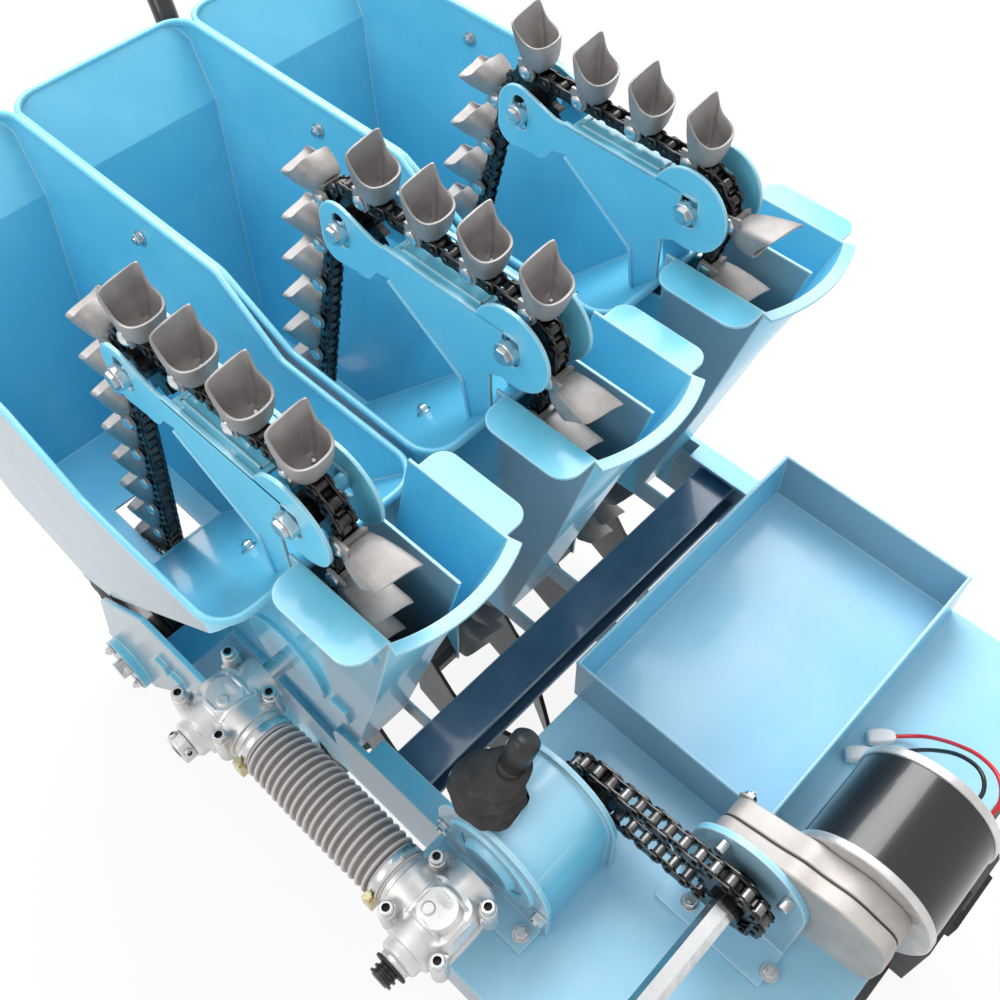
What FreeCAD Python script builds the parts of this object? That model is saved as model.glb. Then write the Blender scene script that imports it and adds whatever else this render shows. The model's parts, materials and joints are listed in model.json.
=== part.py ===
import FreeCAD, Part
import math, os

# Three-row walk-behind garlic planter, millimetres.
# X across the rows, -Y the way it travels, Z up from the ground.

V = FreeCAD.Vector
AX, AY, AZ = V(1, 0, 0), V(0, 1, 0), V(0, 0, 1)

# driving dimensions
PITCH = 180.0              # spacing of the planted rows
ROWS = (-PITCH, 0.0, PITCH)
CHAIN_P = 12.7             # roller chain pitch
SPROCKET_R = 24.5          # pitch radius of the cup chain's sprockets
CHAIN_H = 11.8             # side plate height of the cup chain
CHAIN_W = 16.0             # width over the chain's plates
CUP_STEP = 4               # chain pitches from cup to cup
CUP_W, CUP_D, CUP_H = 32.0, 26.0, 45.0    # across, along the chain, above its middle
CUP_DROP = 18.0            # the cup's rim falls by this from its back wall to its front
CUP_T = 3.0
CUP_START = (0.0, 11.6, 45.5)   # where each row's first cup stands, along its chain

TOP = (0.0, 650.0)         # (y, z) of the upper rear sprocket
FRONT = (-162.0, 650.0)    # of the front roller
LOW_F = (-34.0, 165.0)     # of the lower front sprocket
LOW_R = (123.0, 178.0)     # of the lower rear sprocket
DRIVE = (-99.0, 405.0)     # of the driven shaft that meets the chain's front leg

DUCT_X = (-21.0, 37.0)         # sides of the duct round the chain's front leg
ARM_X = (-19.0, 23.0)          # outer faces of the arm's plates
ARM_T = 2.5
BEARING_R = 16.0
PIN_R = 5.0
SEAT = 0.1                     # radial room of a wheel on its pin

HOP_L, HOP_R = -79.0, 99.0     # hopper sides at the rim, measured from the row's chain
HOP_REAR, HOP_FRONT = 357.0, -145.0
HOP_RIM = 608.0
HOP_LOW_RIM = HOP_RIM - 37.0   # the rim in front of its step
HOP_BEND = HOP_RIM - 60.0      # fold of the rear and right walls
HOP_FLOOR = 332.0
HOP_T = 2.0
HOP_CORNER = 24.0              # rounding of the rim's corners
HOP_LEAN_Y, HOP_LEAN_X = 42.0, 9.0      # flare of the walls above the fold
FLOOR_X = (-74.2, 46.0)        # the floor's sides
FLOOR_Y = (95.0, 254.0)
HATCH = (-20.0, 24.0, 98.0, 170.0)      # x0, x1, y0, y1 of the floor's opening for the chain
STEP_Y = (70.0, 4.0)           # the rim comes down between these
GUARD = [(105.0, -10.0), (155.0, -38.0)]    # low edge of the left wall: y, below the floor

DECK_Z, DECK_T = 349.0, 4.0
DECK_X = (-PITCH - 90.0, PITCH + 42.0)
DECK_REAR, DECK_FRONT = -266.0, -556.0
SKIRT_H = 55.0

TRAY = (-54.0, PITCH + 40.0, -443.0, -262.0)   # x0, x1, y0, y1
TRAY_H, TRAY_T = 53.0, 2.0

BEAM_Z, BEAM_H, BEAM_T = 330.0, 38.0, 4.0
BEAM_Y = (-226.0, -188.0)
PLATE_T = 5.0
MID_X = sum(DUCT_X) / 2        # middle of the frame
INNER_X = PITCH + (DUCT_X[1] - DUCT_X[0]) / 2 + PLATE_T    # to an inner plate's outer face
OUTER_X = PITCH + 88.0         # to an outer plate's outer face
CROSS_Y = (-8.0, 28.0)         # rear cross tube
CROSS_Z = (296.0, HOP_FLOOR)
SPOUT_Z = HOP_RIM - 4.0        # top of the chutes
LIP_X = 80.0                   # right edge of a chute's mouth
MOUTH_BOW = 12.0               # the mouth's front swells by this

OPENER_W = 100.0
HANDLE_X = 94.0                # middle of the frame to a handlebar

WHEEL_R = 160.0
AXLE_Z = 160.0                 # height of all axles
FRONT_W, REAR_W = 60.0, 26.0   # tyre widths
LUGS, LUG_H = 16, 9.0
RIM_R = 112.0
FRONT_AXLE_Y = DECK_FRONT + 0.725 * WHEEL_R     # the tyres clear the front bar
FRONT_WHEEL_X = 95.0           # middle of the frame to the middle of the tyre
REAR_WHEEL_X = PITCH + 47.0
REAR_AXLE = (141.0, AXLE_Z)
AXLE_R = 10.0
RUN = 0.08                     # running clearance, radial
COLLAR = 5.0
SIDE_GAP = 6.0                 # from a tyre's side to the frame

HOUSE = (-322.0, 405.0)        # (y, z) of the clutch housing's axis
HOUSE_X = (-205.0, -141.0)
HOUSE_R = 47.0
HOUSE_OUT = (HOUSE[0] - 19.0, HOUSE[1] + 7.0)     # the shaft its chain drives
SHAFT_R = 8.0
GEAR_X = -PITCH - 79.0         # both angle gearboxes
GEAR_S = 62.0
SIDE_CHAIN_X = -120.0
MOTOR = (-517.0, 436.0)
MOTOR_R, MOTOR_L = 50.5, 86.0
MOTOR_X0 = -68.0
OUT = (-457.0, 421.0)          # (y, z) of the reducer's output shaft
BRACKET_R = 46.0


def box(x0, x1, y0, y1, z0, z1):
    x0, x1 = sorted((x0, x1))
    y0, y1 = sorted((y0, y1))
    z0, z1 = sorted((z0, z1))
    return Part.makeBox(x1 - x0, y1 - y0, z1 - z0, V(x0, y0, z0))


def rod_x(x0, x1, yz, r):
    return Part.makeCylinder(r, abs(x1 - x0), V(min(x0, x1), yz[0], yz[1]), AX)


def rod(p, q, r):
    p, q = V(*p), V(*q)
    return Part.makeCylinder(r, (q - p).Length, p, q - p)


def ring_x(x0, x1, yz, r, bore):
    return rod_x(x0, x1, yz, r).cut(rod_x(x0 - 1, x1 + 1, yz, bore))


def prism_x(x0, x1, pts):
    """A side profile of (y, z) points drawn out along X."""
    w = Part.makePolygon([V(x0, y, z) for y, z in pts] + [V(x0, *pts[0])])
    return Part.Face(w).extrude(V(x1 - x0, 0, 0))


def prism_z(z0, z1, pts):
    w = Part.makePolygon([V(x, y, z0) for x, y in pts] + [V(*pts[0], z0)])
    return Part.Face(w).extrude(V(0, 0, z1 - z0))


def prism_y(y0, y1, pts):
    w = Part.makePolygon([V(x, y0, z) for x, z in pts] + [V(pts[0][0], y0, pts[0][1])])
    return Part.Face(w).extrude(V(0, y1 - y0, 0))


def fuse(shapes):
    shapes = list(shapes)
    out = shapes[0].multiFuse(shapes[1:]) if len(shapes) > 1 else shapes[0]
    return out.removeSplitter()


def moved(shape, x=0.0, y=0.0, z=0.0):
    s = shape.copy()
    s.translate(V(x, y, z))
    return s


def export(name, shape):
    shape.exportStep("parts/" + name + ".step")
    print(name, len(shape.Solids), round(shape.Volume / 1000.0, 1))


def round_rect(x0, x1, y0, y1, z, r):
    """A closed rounded rectangle in the plane at z."""
    k = r * (1 - math.sqrt(0.5))
    e = []
    e.append(Part.makeLine(V(x0 + r, y0, z), V(x1 - r, y0, z)))
    e.append(Part.Arc(V(x1 - r, y0, z), V(x1 - k, y0 + k, z), V(x1, y0 + r, z)).toShape())
    e.append(Part.makeLine(V(x1, y0 + r, z), V(x1, y1 - r, z)))
    e.append(Part.Arc(V(x1, y1 - r, z), V(x1 - k, y1 - k, z), V(x1 - r, y1, z)).toShape())
    e.append(Part.makeLine(V(x1 - r, y1, z), V(x0 + r, y1, z)))
    e.append(Part.Arc(V(x0 + r, y1, z), V(x0 + k, y1 - k, z), V(x0, y1 - r, z)).toShape())
    e.append(Part.makeLine(V(x0, y1 - r, z), V(x0, y0 + r, z)))
    e.append(Part.Arc(V(x0, y0 + r, z), V(x0 + k, y0 + k, z), V(x0 + r, y0, z)).toShape())
    return Part.Wire(e)


def inset(pts, g):
    """A closed outline with each edge moved inwards by g."""
    ring = list(zip(pts, pts[1:] + pts[:1]))
    turn = 1 if sum(a[0] * b[1] - b[0] * a[1] for a, b in ring) > 0 else -1
    lines = []
    for a, b in ring:
        n = math.dist(a, b)
        u, v = (b[0] - a[0]) / n, (b[1] - a[1]) / n
        lines.append((a[0] - v * g * turn, a[1] + u * g * turn, u, v))
    out = []
    for (x0, y0, a0, b0), (x1, y1, a1, b1) in zip(lines[-1:] + lines[:-1], lines):
        t = ((x1 - x0) * b1 - (y1 - y0) * a1) / (a0 * b1 - b0 * a1)
        out.append((x0 + a0 * t, y0 + b0 * t))
    return out


def tangent_loop(circles):
    """Outer belt round circles (y, z, r) taken anticlockwise seen from +X:
    the list of (start, end) points of the straight runs."""
    runs = []
    n = len(circles)
    for i in range(n):
        (y0, z0, r0), (y1, z1, r1) = circles[i], circles[(i + 1) % n]
        dy, dz = y1 - y0, z1 - z0
        d = math.hypot(dy, dz)
        a = math.atan2(dz, dy)
        b = math.asin((r0 - r1) / d)
        ny, nz = math.cos(a - math.pi / 2 + b), math.sin(a - math.pi / 2 + b)
        runs.append(((y0 + r0 * ny, z0 + r0 * nz), (y1 + r1 * ny, z1 + r1 * nz)))
    return runs


def loop_face(x0, circles, grow):
    """A closed belt outline in the plane at x0, grown by grow."""
    cs = [(y, z, r + grow) for y, z, r in circles]
    runs = tangent_loop(cs)
    edges = []
    for i, (a, b) in enumerate(runs):
        edges.append(Part.makeLine(V(x0, *a), V(x0, *b)))
        y, z, r = cs[(i + 1) % len(cs)]
        c = runs[(i + 1) % len(runs)][0]
        a0 = math.atan2(b[1] - z, b[0] - y)
        a1 = math.atan2(c[1] - z, c[0] - y)
        while a1 < a0:
            a1 += 2 * math.pi
        m = (a0 + a1) / 2
        edges.append(Part.Arc(V(x0, *b), V(x0, y + r * math.cos(m), z + r * math.sin(m)),
                              V(x0, *c)).toShape())
    return Part.Face(Part.Wire(edges))


def belt(x0, x1, circles, half):
    outer = loop_face(x0, circles, half).extrude(V(x1 - x0, 0, 0))
    inner = loop_face(x0, circles, -half).extrude(V(x1 - x0, 0, 0))
    return outer.cut(inner)


def walk(circles, step, start=0.0):
    """Places every step along a belt: (y, z, outward angle)."""
    runs = tangent_loop(circles)
    parts = []
    for i, (a, b) in enumerate(runs):
        parts.append(("line", a, b, math.dist(a, b)))
        y, z, r = circles[(i + 1) % len(circles)]
        c = runs[(i + 1) % len(runs)][0]
        a0 = math.atan2(b[1] - z, b[0] - y)
        a1 = math.atan2(c[1] - z, c[0] - y)
        while a1 < a0:
            a1 += 2 * math.pi
        parts.append(("arc", (y, z, r), (a0, a1), r * (a1 - a0)))
    total = sum(p[3] for p in parts)
    n = int(round(total / step))
    out = []
    for k in range(n):
        s = (start + k * total / n) % total
        for kind, a, b, length in parts:
            if s <= length:
                if kind == "line":
                    t = s / length
                    ang = math.atan2(b[1] - a[1], b[0] - a[0]) - math.pi / 2
                    out.append((a[0] + t * (b[0] - a[0]), a[1] + t * (b[1] - a[1]), ang))
                else:
                    y, z, r = a
                    ang = b[0] + s / r
                    out.append((y + r * math.cos(ang), z + r * math.sin(ang), ang))
                break
            s -= length
    return out


# ---------------------------------------------------------------- frame
def cross_beam():
    """Channel across the front of the rows, open to the front."""
    x0 = MID_X - INNER_X + PLATE_T
    x1 = MID_X + INNER_X - PLATE_T
    y0, y1 = BEAM_Y
    z1, z0 = BEAM_Z, BEAM_Z - BEAM_H
    web = box(x0, x1, y1 - BEAM_T, y1, z0, z1)
    top = box(x0, x1, y0, y1, z1 - BEAM_T, z1)
    low = box(x0, x1, y0, y1, z0, z0 + BEAM_T)
    return fuse([web, top, low])


def rear_tube():
    """Square tube that carries the rows and the outer side plates."""
    x0 = MID_X - OUTER_X + PLATE_T
    x1 = MID_X + OUTER_X - PLATE_T
    y0, y1 = CROSS_Y
    z0, z1 = CROSS_Z
    t = 3.0
    return box(x0, x1, y0, y1, z0, z1).cut(box(x0 - 1, x1 + 1, y0 + t, y1 - t, z0 + t, z1 - t))


def inner_plate(side):
    """Frame plate from the deck back to the rear tube, its top edge folded inwards."""
    xo = MID_X + side * INNER_X
    xi = MID_X + side * (INNER_X - PLATE_T)
    z1 = DECK_Z - DECK_T
    y0, y1 = CROSS_Y
    z0, zt = CROSS_Z
    rear = BEAM_Y[1] + 50
    pts = [(DECK_REAR - 60, z1), (rear - 14, z1), (rear - 4, z1 - 5), (rear, z1 - 15),
           (rear, z1 - 40), (y0 - 40, zt), (y0, zt), (y0, z0), (y0 - 8, z0 - 30),
           (-140, z0 - 40), (DECK_REAR - 60, z1 - SKIRT_H - 40)]
    plate = prism_x(xo, xi, pts)
    flange = box(xi, xi - side * 16, DECK_REAR, rear - 40, z1 - 4, z1)
    return fuse([plate, flange])


def outer_plate(side):
    """Plate outside a rear wheel, hung on the rear tube, with the stub axle's seat."""
    xo = MID_X + side * OUTER_X
    xi = MID_X + side * (OUTER_X - PLATE_T)
    ay, az = REAR_AXLE
    z1 = 387.0
    low = [(ay - 18, 300), (ay + 24, az + 34), (ay + 34, az + 14), (ay + 30, az - 22),
           (ay + 8, az - 36), (ay - 28, az - 22), (40, 232)]
    if side < 0:
        under = DECK_Z - DECK_T
        pts = [(DECK_REAR - 60, under), (-140, under), (-90, 368), (-58, z1), (23, z1)] + low
        pts += [(-10, 262), (-140, 252), (DECK_REAR - 60, under - SKIRT_H - 30)]
    else:
        pts = [(-24, 345), (-10, z1 - 20), (23, z1 - 20)] + low + [(-10, 262), (-24, 275)]
    plate = prism_x(xo, xi, pts)
    flange = rod_x(xo, xo + side * 9, REAR_AXLE, 30)
    pads = [box(xo, xo + side * 5, y - 7, y + 7, z - 7, z + 7) for y, z in ((-1, 314), (20, 314))]
    body = fuse([plate, flange] + pads)
    return body.cut(rod_x(xo + side * 20, xi - side * 20, REAR_AXLE, AXLE_R))


def front_hangers():
    """Bearing plates for the front axle, hung under the deck inside the wheels."""
    out = []
    a = FRONT_AXLE_Y
    top = DECK_Z - DECK_T
    for side in (-1, 1):
        xo = MID_X + side * (FRONT_WHEEL_X - FRONT_W / 2 - SIDE_GAP)
        xi = xo - side * 6
        pl = prism_x(xo, xi, [(a - 60, top), (a + 60, top), (a + 24, AXLE_Z - 24),
                              (a - 24, AXLE_Z - 24)])
        boss = rod_x(xo, xi - side * 12, (a, AXLE_Z), 24)
        foot = box(xo, xo - side * 36, a - 60, a + 60, top - 5, top)
        body = fuse([pl, boss, foot])
        out.append(body.cut(rod_x(xo + side * 20, xi - side * 40, (a, AXLE_Z), AXLE_R + RUN)))
    return Part.makeCompound(out)


def deck():
    z1, z0 = DECK_Z, DECK_Z - DECK_T
    x0, x1 = DECK_X
    d = box(x0, x1, DECK_FRONT, DECK_REAR, z0, z1)
    left = box(x0, x0 + DECK_T, DECK_FRONT, DECK_REAR, z1 - SKIRT_H, z1)
    right = box(x1 - DECK_T, x1, DECK_FRONT, DECK_REAR - 62, z1 - SKIRT_H, z1)
    return fuse([d, left, right])


def front_bar():
    return box(DECK_X[0], DECK_X[1], DECK_FRONT - 6, DECK_FRONT, DECK_Z - SKIRT_H, DECK_Z)


def tray():
    x0, x1, y0, y1 = TRAY
    z0, z1 = DECK_Z, DECK_Z + TRAY_H
    t = TRAY_T
    return box(x0, x1, y0, y1, z0, z1).cut(box(x0 + t, x1 - t, y0 + t, y1 - t, z0 + t, z1 + 1))


# ---------------------------------------------------------------- hoppers
def under_hopper(y):
    """Height of the underside of a hopper's sloping front plate."""
    fall = (HOP_LOW_RIM - HOP_FLOOR) / (FLOOR_Y[0] - HOP_FRONT)
    return HOP_LOW_RIM - fall * (y - HOP_FRONT)


def in_hopper(y):
    """Height of the same plate's upper face."""
    fall = (HOP_LOW_RIM - HOP_FLOOR) / (FLOOR_Y[0] - HOP_FRONT)
    return under_hopper(y) + HOP_T * math.hypot(1, fall)


def hopper_solid(g):
    """Hopper body shrunk by g and carried on above its rim."""
    up = HOP_CORNER * 2
    top = HOP_RIM + up
    flare = up / (HOP_RIM - HOP_BEND)
    fall = (HOP_LOW_RIM - HOP_FLOOR) / (FLOOR_Y[0] - HOP_FRONT)
    side = [(HOP_FRONT - (top - HOP_LOW_RIM) / fall, top), (FLOOR_Y[0], HOP_FLOOR),
            (FLOOR_Y[1], HOP_FLOOR), (HOP_REAR - HOP_LEAN_Y, HOP_BEND),
            (HOP_REAR + HOP_LEAN_Y * flare, top)]
    low = HOP_FLOOR - up
    lean_l = (FLOOR_X[0] - HOP_L) / (HOP_RIM - HOP_FLOOR)
    lean_r = (HOP_R - HOP_LEAN_X - FLOOR_X[1]) / (HOP_BEND - HOP_FLOOR)
    cross = [(HOP_L - lean_l * up, top), (FLOOR_X[0] + lean_l * up, low),
             (FLOOR_X[1] - lean_r * up, low), (HOP_R - HOP_LEAN_X, HOP_BEND),
             (HOP_R + HOP_LEAN_X * flare, top)]
    body = prism_x(2 * HOP_L, 2 * HOP_R, inset(side, g))
    body = body.common(prism_y(2 * HOP_FRONT, 2 * HOP_REAR, inset(cross, g)))
    plan = round_rect(HOP_L + g, HOP_R - g, HOP_FRONT + g, HOP_REAR - g, low, HOP_CORNER - g)
    return body.common(Part.Face(plan).extrude(V(0, 0, top - low)))


def hopper(row):
    """Open sheet hopper with a lowered front rim; its left wall hangs below the floor."""
    shell = hopper_solid(0).cut(hopper_solid(HOP_T))
    far = 2 * HOP_REAR
    shell = shell.cut(prism_x(-far, far, [
        (STEP_Y[1], HOP_LOW_RIM), (-far, HOP_LOW_RIM), (-far, far + HOP_RIM), (far, far + HOP_RIM),
        (far, HOP_RIM), (STEP_Y[0], HOP_RIM)]))
    x0, x1, y0, y1 = HATCH
    shell = shell.cut(box(x0, x1, y0, y1, HOP_FLOOR - 10, under_hopper(y0) + 10))
    lean = (FLOOR_X[0] - HOP_L) / (HOP_RIM - HOP_FLOOR)
    low = [(y, HOP_FLOOR + z) for y, z in GUARD]
    drop = HOP_FLOOR - low[1][1] + 2
    face = [(FLOOR_X[0] - 3 * lean, HOP_FLOOR + 3), (FLOOR_X[0] + drop * lean, HOP_FLOOR - drop),
            (FLOOR_X[0] + drop * lean + HOP_T, HOP_FLOOR - drop),
            (FLOOR_X[0] - 3 * lean + HOP_T, HOP_FLOOR + 3)]
    guard = prism_y(FLOOR_Y[0], FLOOR_Y[1], face)
    guard = guard.common(prism_x(2 * HOP_L, 0, [(FLOOR_Y[0] + 4, HOP_FLOOR + 3),
                                                (FLOOR_Y[0] + 4, HOP_FLOOR)] + low
                                 + [(FLOOR_Y[1] - 1, HOP_FLOOR), (FLOOR_Y[1] - 1, HOP_FLOOR + 3)]))
    return moved(fuse([shell, guard]), row)


# ---------------------------------------------------------------- elevators
LOOP = [(TOP[0], TOP[1], SPROCKET_R), (FRONT[0], FRONT[1], SPROCKET_R),
        (LOW_F[0], LOW_F[1], SPROCKET_R), (LOW_R[0], LOW_R[1], SPROCKET_R)]


def cup():
    """One cup on the chain, standing on the origin: +Z outward, the chain runs along -Y."""
    w, d, h, t = CUP_W / 2, CUP_D, CUP_H, CUP_T
    z0 = CHAIN_H / 2 - 1
    plan = [(-w + 2, 0), (w - 2, 0), (w, -d * 0.6), (w / 2, -d), (-w / 2, -d), (-w, -d * 0.6)]
    body = prism_z(z0, h, plan)
    pit = prism_z(z0 + t + 1, h + 1, inset(plan, t * 0.8))
    above = prism_x(-w - 1, w + 1, [(-t, h), (-t, h + 9), (-d - 1, h + 9), (-d - 1, h - CUP_DROP)])
    return body.cut(pit).cut(above)


def cup_chain(row, phase):
    base = cup()
    band = belt(-CHAIN_W / 2, CHAIN_W / 2, LOOP, CHAIN_H / 2)
    out = [band]
    for y, z, ang in walk(LOOP, CHAIN_P * CUP_STEP, phase):
        c = base.copy()
        c.rotate(V(0, 0, 0), AX, math.degrees(ang) - 90)
        c.translate(V(0, y, z))
        out.append(c)
    return moved(fuse(out), row)


def sprockets(row):
    """The four wheels the cup chain runs on."""
    out = []
    for y, z in (TOP, FRONT, LOW_F, LOW_R):
        wheel = rod_x(-3.4, 3.4, (y, z), SPROCKET_R - CHAIN_H / 2 - 0.4)
        hub = rod_x(-11, 11, (y, z), 11)
        bore = rod_x(-20, 20, (y, z), PIN_R + SEAT)
        out.append(moved(fuse([wheel, hub]).cut(bore), row))
    return out


def arm(row):
    """Channel arm between the upper sprocket and the front roller, with their bolts; its
    foot stands on the hopper's front plate."""
    t = ARM_T
    zt = TOP[1] + 12
    xl, xr = ARM_X
    toe, heel = HOP_FRONT + 3, -120.0
    plates = []
    for x0, x1 in ((xl, xl + t), (xr - t, xr)):
        head = fuse([rod_x(x0, x1, TOP, 22), rod_x(x0, x1, (9, TOP[1] - 19), 14),
                     rod_x(x0, x1, (-17, TOP[1] - 17), 14),
                     prism_x(x0, x1, [(23, TOP[1] - 19), (22, TOP[1] + 2), (-10, TOP[1] + 20), (-44, zt - 3),
                                      (-42, TOP[1] - 6), (-26, TOP[1] - 28), (9, TOP[1] - 33)])])
        side = prism_x(x0, x1, [(-30, zt), (-172, zt), (-180, 632), (toe, 612),
                                (toe, in_hopper(toe)), (heel, in_hopper(heel)),
                                (heel + 5, FRONT[1] - 63), (-46, TOP[1] - 14), (-30, TOP[1] - 18)])
        disc = rod_x(x0, x1, FRONT, 33)
        body = fuse([head, side, disc])
        for y, z in (TOP, FRONT):
            body = body.cut(fuse([box(x0, x1, y - 7.5, y + 7.5, z - 7, z + 7),
                                  rod_x(x0, x1, (y, z - 7), 7.5), rod_x(x0, x1, (y, z + 7), 7.5)]))
        plates.append(body)
    web = box(xl + t, xr - t, -134, -50, zt - t, zt)
    bolts = []
    for y, z in (TOP, FRONT):
        bolts.append(rod_x(xl - 3, xr + 3, (y, z), PIN_R))
        bolts.append(rod_x(xl - 6, xl, (y, z), 8.5))
        bolts.append(rod_x(xr, xr + 6, (y, z), 8.5))
    return moved(fuse(plates + [web] + bolts), row)


def chute(row):
    """Sheet spout and duct round the chain's front leg, down to the lower sprocket; its
    walls follow the hopper's front plate and carry the hopper."""
    t = 2.0
    xl, xr = DUCT_X
    zt = SPOUT_Z
    ry, rz = LOW_R
    fy, fz = LOW_F
    front = [(-240, zt), (-205, 470), (-152, 300)]
    low = [(-97, 297), (fy - 50, 190), (fy - 46, fz - 47), (fy - 2, fz - 53), (60, 116), (ry, 132),
           (ry + 42, 158), (ry + 46, rz + 10), (ry + 14, rz + 48), (104, 280), (104, HOP_FLOOR),
           (FLOOR_Y[0], HOP_FLOOR)]
    back = [(-130, under_hopper(-130)), (-150, under_hopper(-130) + 4), (-150, zt)]
    walls = [prism_x(x, x + t, front + low + back) for x in (xl, xr - t)]
    wall = prism_x(xl, xr, front[1:] + [(y + t, z) for y, z in reversed(front[1:])])
    side = prism_y(-240, -150, [(xr - t, 470), (xr, 470), (LIP_X, zt), (LIP_X - t, zt)])
    side = side.common(prism_x(xl, LIP_X + 1, [front[0], front[1], (-150, 470), (-150, zt)]))
    mid = (xl + LIP_X) / 2
    bow = [Part.Arc(V(x0, y0, zt), V(mid, y0 - MOUTH_BOW, zt), V(x1, y0, zt)).toShape()
           for x0, x1, y0 in ((xl, LIP_X, -240), (xl, LIP_X, -239), (xl - 2, LIP_X + 2, -247))]
    foot = Part.makeLine(V(xl, front[1][0], front[1][1]), V(xr, front[1][0], front[1][1]))
    mouth = Part.makeRuledSurface(foot, bow[0]).extrude(V(0, t, 0))
    ends = [Part.makeLine(bow[1].Vertexes[i].Point, bow[2].Vertexes[i].Point) for i in (0, 1)]
    lip_f = Part.Face(Part.Wire(Part.__sortEdges__(bow[1:] + ends))).extrude(V(0, 0, -t))
    lips = fuse([Part.Face(round_rect(xl - 28, xl + 30, -238, -158, zt - t, 16)).extrude(V(0, 0, t)),
                 Part.Face(round_rect(LIP_X - 26, LIP_X + 22, -236, -158, zt - t, 12)).extrude(V(0, 0, t))])
    lips = lips.cut(box(xl + t, LIP_X - t, -400, -100, zt - 3, zt + 1))
    ears = [box(x, x + t, BEAM_Y[1], -140, BEAM_Z - BEAM_H + 8, BEAM_Z - 4) for x in (xl, xr - t)]
    body = fuse(walls + [wall, side, mouth, lip_f, lips] + ears)
    body = body.cut(rod_x(xl - 1, xr + 1, DRIVE, BEARING_R))
    body = body.cut(box(xl - 1, xr + 1, CROSS_Y[0], CROSS_Y[1], CROSS_Z[0], CROSS_Z[1]))
    pins = [rod_x(xl - 3, xr + 3, yz, PIN_R) for yz in (LOW_F, LOW_R)]
    return moved(fuse([body] + pins), row)


def opener(row):
    """Hollow pointed furrow opener: two wings that meet at the nose."""
    t = 4.0
    w = OPENER_W / 2
    xl, xr = DUCT_X
    top = [(-206, 10), (-200, 14), (-166, 47), (-140, 67), (-98, 102), (-72, 140), (-58, 172)]
    side = prism_x(-w, w, top + [(-44, 172), (-44, 40), (-80, 20), (-140, 10)])
    plan = [(0, -212), (-w, -118), (-w, -44), (w, -44), (w, -118)]
    inner = [(0, -212 + 2.4 * t), (-w + t, -118 + t), (-w + t, -40), (w - t, -40), (w - t, -118 + t)]
    shell = side.common(prism_z(0, 200, plan)).cut(prism_z(-1, 201, inner))
    ties = [box(-w + t, xl, -78, -60, 120, 160), box(xr, w - t, -78, -60, 120, 160)]
    ties = [b.common(side) for b in ties]
    return moved(fuse([shell] + ties), row)


# ---------------------------------------------------------------- drive
def drive_shaft():
    """Cross shaft from the rear gearbox through all three rows, with their driven sprockets."""
    s = [rod_x(GEAR_X + GEAR_S / 2 + 3, PITCH + DUCT_X[1] + 16, DRIVE, SHAFT_R)]
    a, b = tangent_loop(LOOP)[1]
    dy, dz = b[0] - a[0], b[1] - a[1]
    to_leg = abs((DRIVE[0] - a[0]) * dz - (DRIVE[1] - a[1]) * dy) / math.hypot(dy, dz)
    for r in ROWS:
        s.append(rod_x(r - 3.4, r + 3.4, DRIVE, to_leg - CHAIN_H / 2 - 0.4))
    return fuse(s)


def bearing_plates():
    out = []
    for r in ROWS:
        for x0, x1 in ((r + DUCT_X[0] - 4, r + DUCT_X[0]), (r + DUCT_X[1], r + DUCT_X[1] + 4)):
            out.append(ring_x(x0, x1, DRIVE, 42, SHAFT_R + SEAT))
    return Part.makeCompound(out)


def gearbox(y, hub, stub_r, stub):
    s = GEAR_S / 2
    z = DRIVE[1]
    x = GEAR_X
    body = box(x - s + 6, x + s - 6, y - s + 6, y + s - 6, z - 24, z + 16)
    dome = Part.makeCylinder(22, 20, V(x, y, z + 2), AZ)
    lugs = [Part.makeCylinder(6.5, 26, V(x + a * 23, y + b * 24, z - 6), AZ)
            for a in (-1, 1) for b in (-1, 1)]
    nose = rod((x, y, z), (x, y + hub * (s + 6), z), 20)
    inner = rod_x(x, x + s + 3, (y, z), 19)
    out = rod_x(x - s - 8, x, (y, z), 15)
    tip = rod_x(x - s - 8 - stub, x - s - 8, (y, z), stub_r)
    return fuse([body, dome, nose, inner, out, tip] + lugs)


def hose():
    ya = DRIVE[0] - GEAR_S / 2 - 6
    yb = HOUSE[0] + GEAR_S / 2 + 6
    z = DRIVE[1]
    n = 18
    step = (ya - yb) / n
    out = [rod((GEAR_X, yb, z), (GEAR_X, ya, z), 20.5)]
    for i in range(n):
        y = yb + i * step
        out.append(rod((GEAR_X, y + step * 0.2, z), (GEAR_X, y + step * 0.75, z), 24.5))
    return fuse(out)


def clutch_housing():
    x0, x1 = HOUSE_X
    y, z = HOUSE
    can = rod_x(x0, x1, HOUSE, HOUSE_R)
    flanges = [rod_x(x0 - 4, x0, HOUSE, HOUSE_R + 5), rod_x(x1, x1 + 4, HOUSE, HOUSE_R + 5)]
    foot = box(x0, x1, y - HOUSE_R, y + HOUSE_R, DECK_Z, z)
    foot1 = box(x0 - 26, x0, y - HOUSE_R, y + HOUSE_R, DECK_Z, DECK_Z + 4)
    foot2 = box(x1, x1 + 14, y - HOUSE_R, y + HOUSE_R, DECK_Z, DECK_Z + 4)
    plate = box(x0 - 4, x0, y - HOUSE_R - 5, y + HOUSE_R + 5, DECK_Z, z)
    plate2 = box(x1, x1 + 4, y - HOUSE_R - 5, y + HOUSE_R + 5, DECK_Z, z)
    seat = lever_seat(z + 30, z + HOUSE_R + 2)
    return fuse([can, foot, foot1, foot2, plate, plate2, seat] + flanges)


LEVER_X, LEVER_Y = HOUSE_X[0] + 15, HOUSE[0] + 18
LEVER_DIR = V(0.50, -0.05, 0.86).normalize()
BOOT_Z = HOUSE[1] + HOUSE_R + 2
BOOT_H = 38.0
LEVER_PLATE = (15.0, 27.0)     # half the plate's sides
LEVER_PLATE_Y = LEVER_Y + 6


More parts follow.
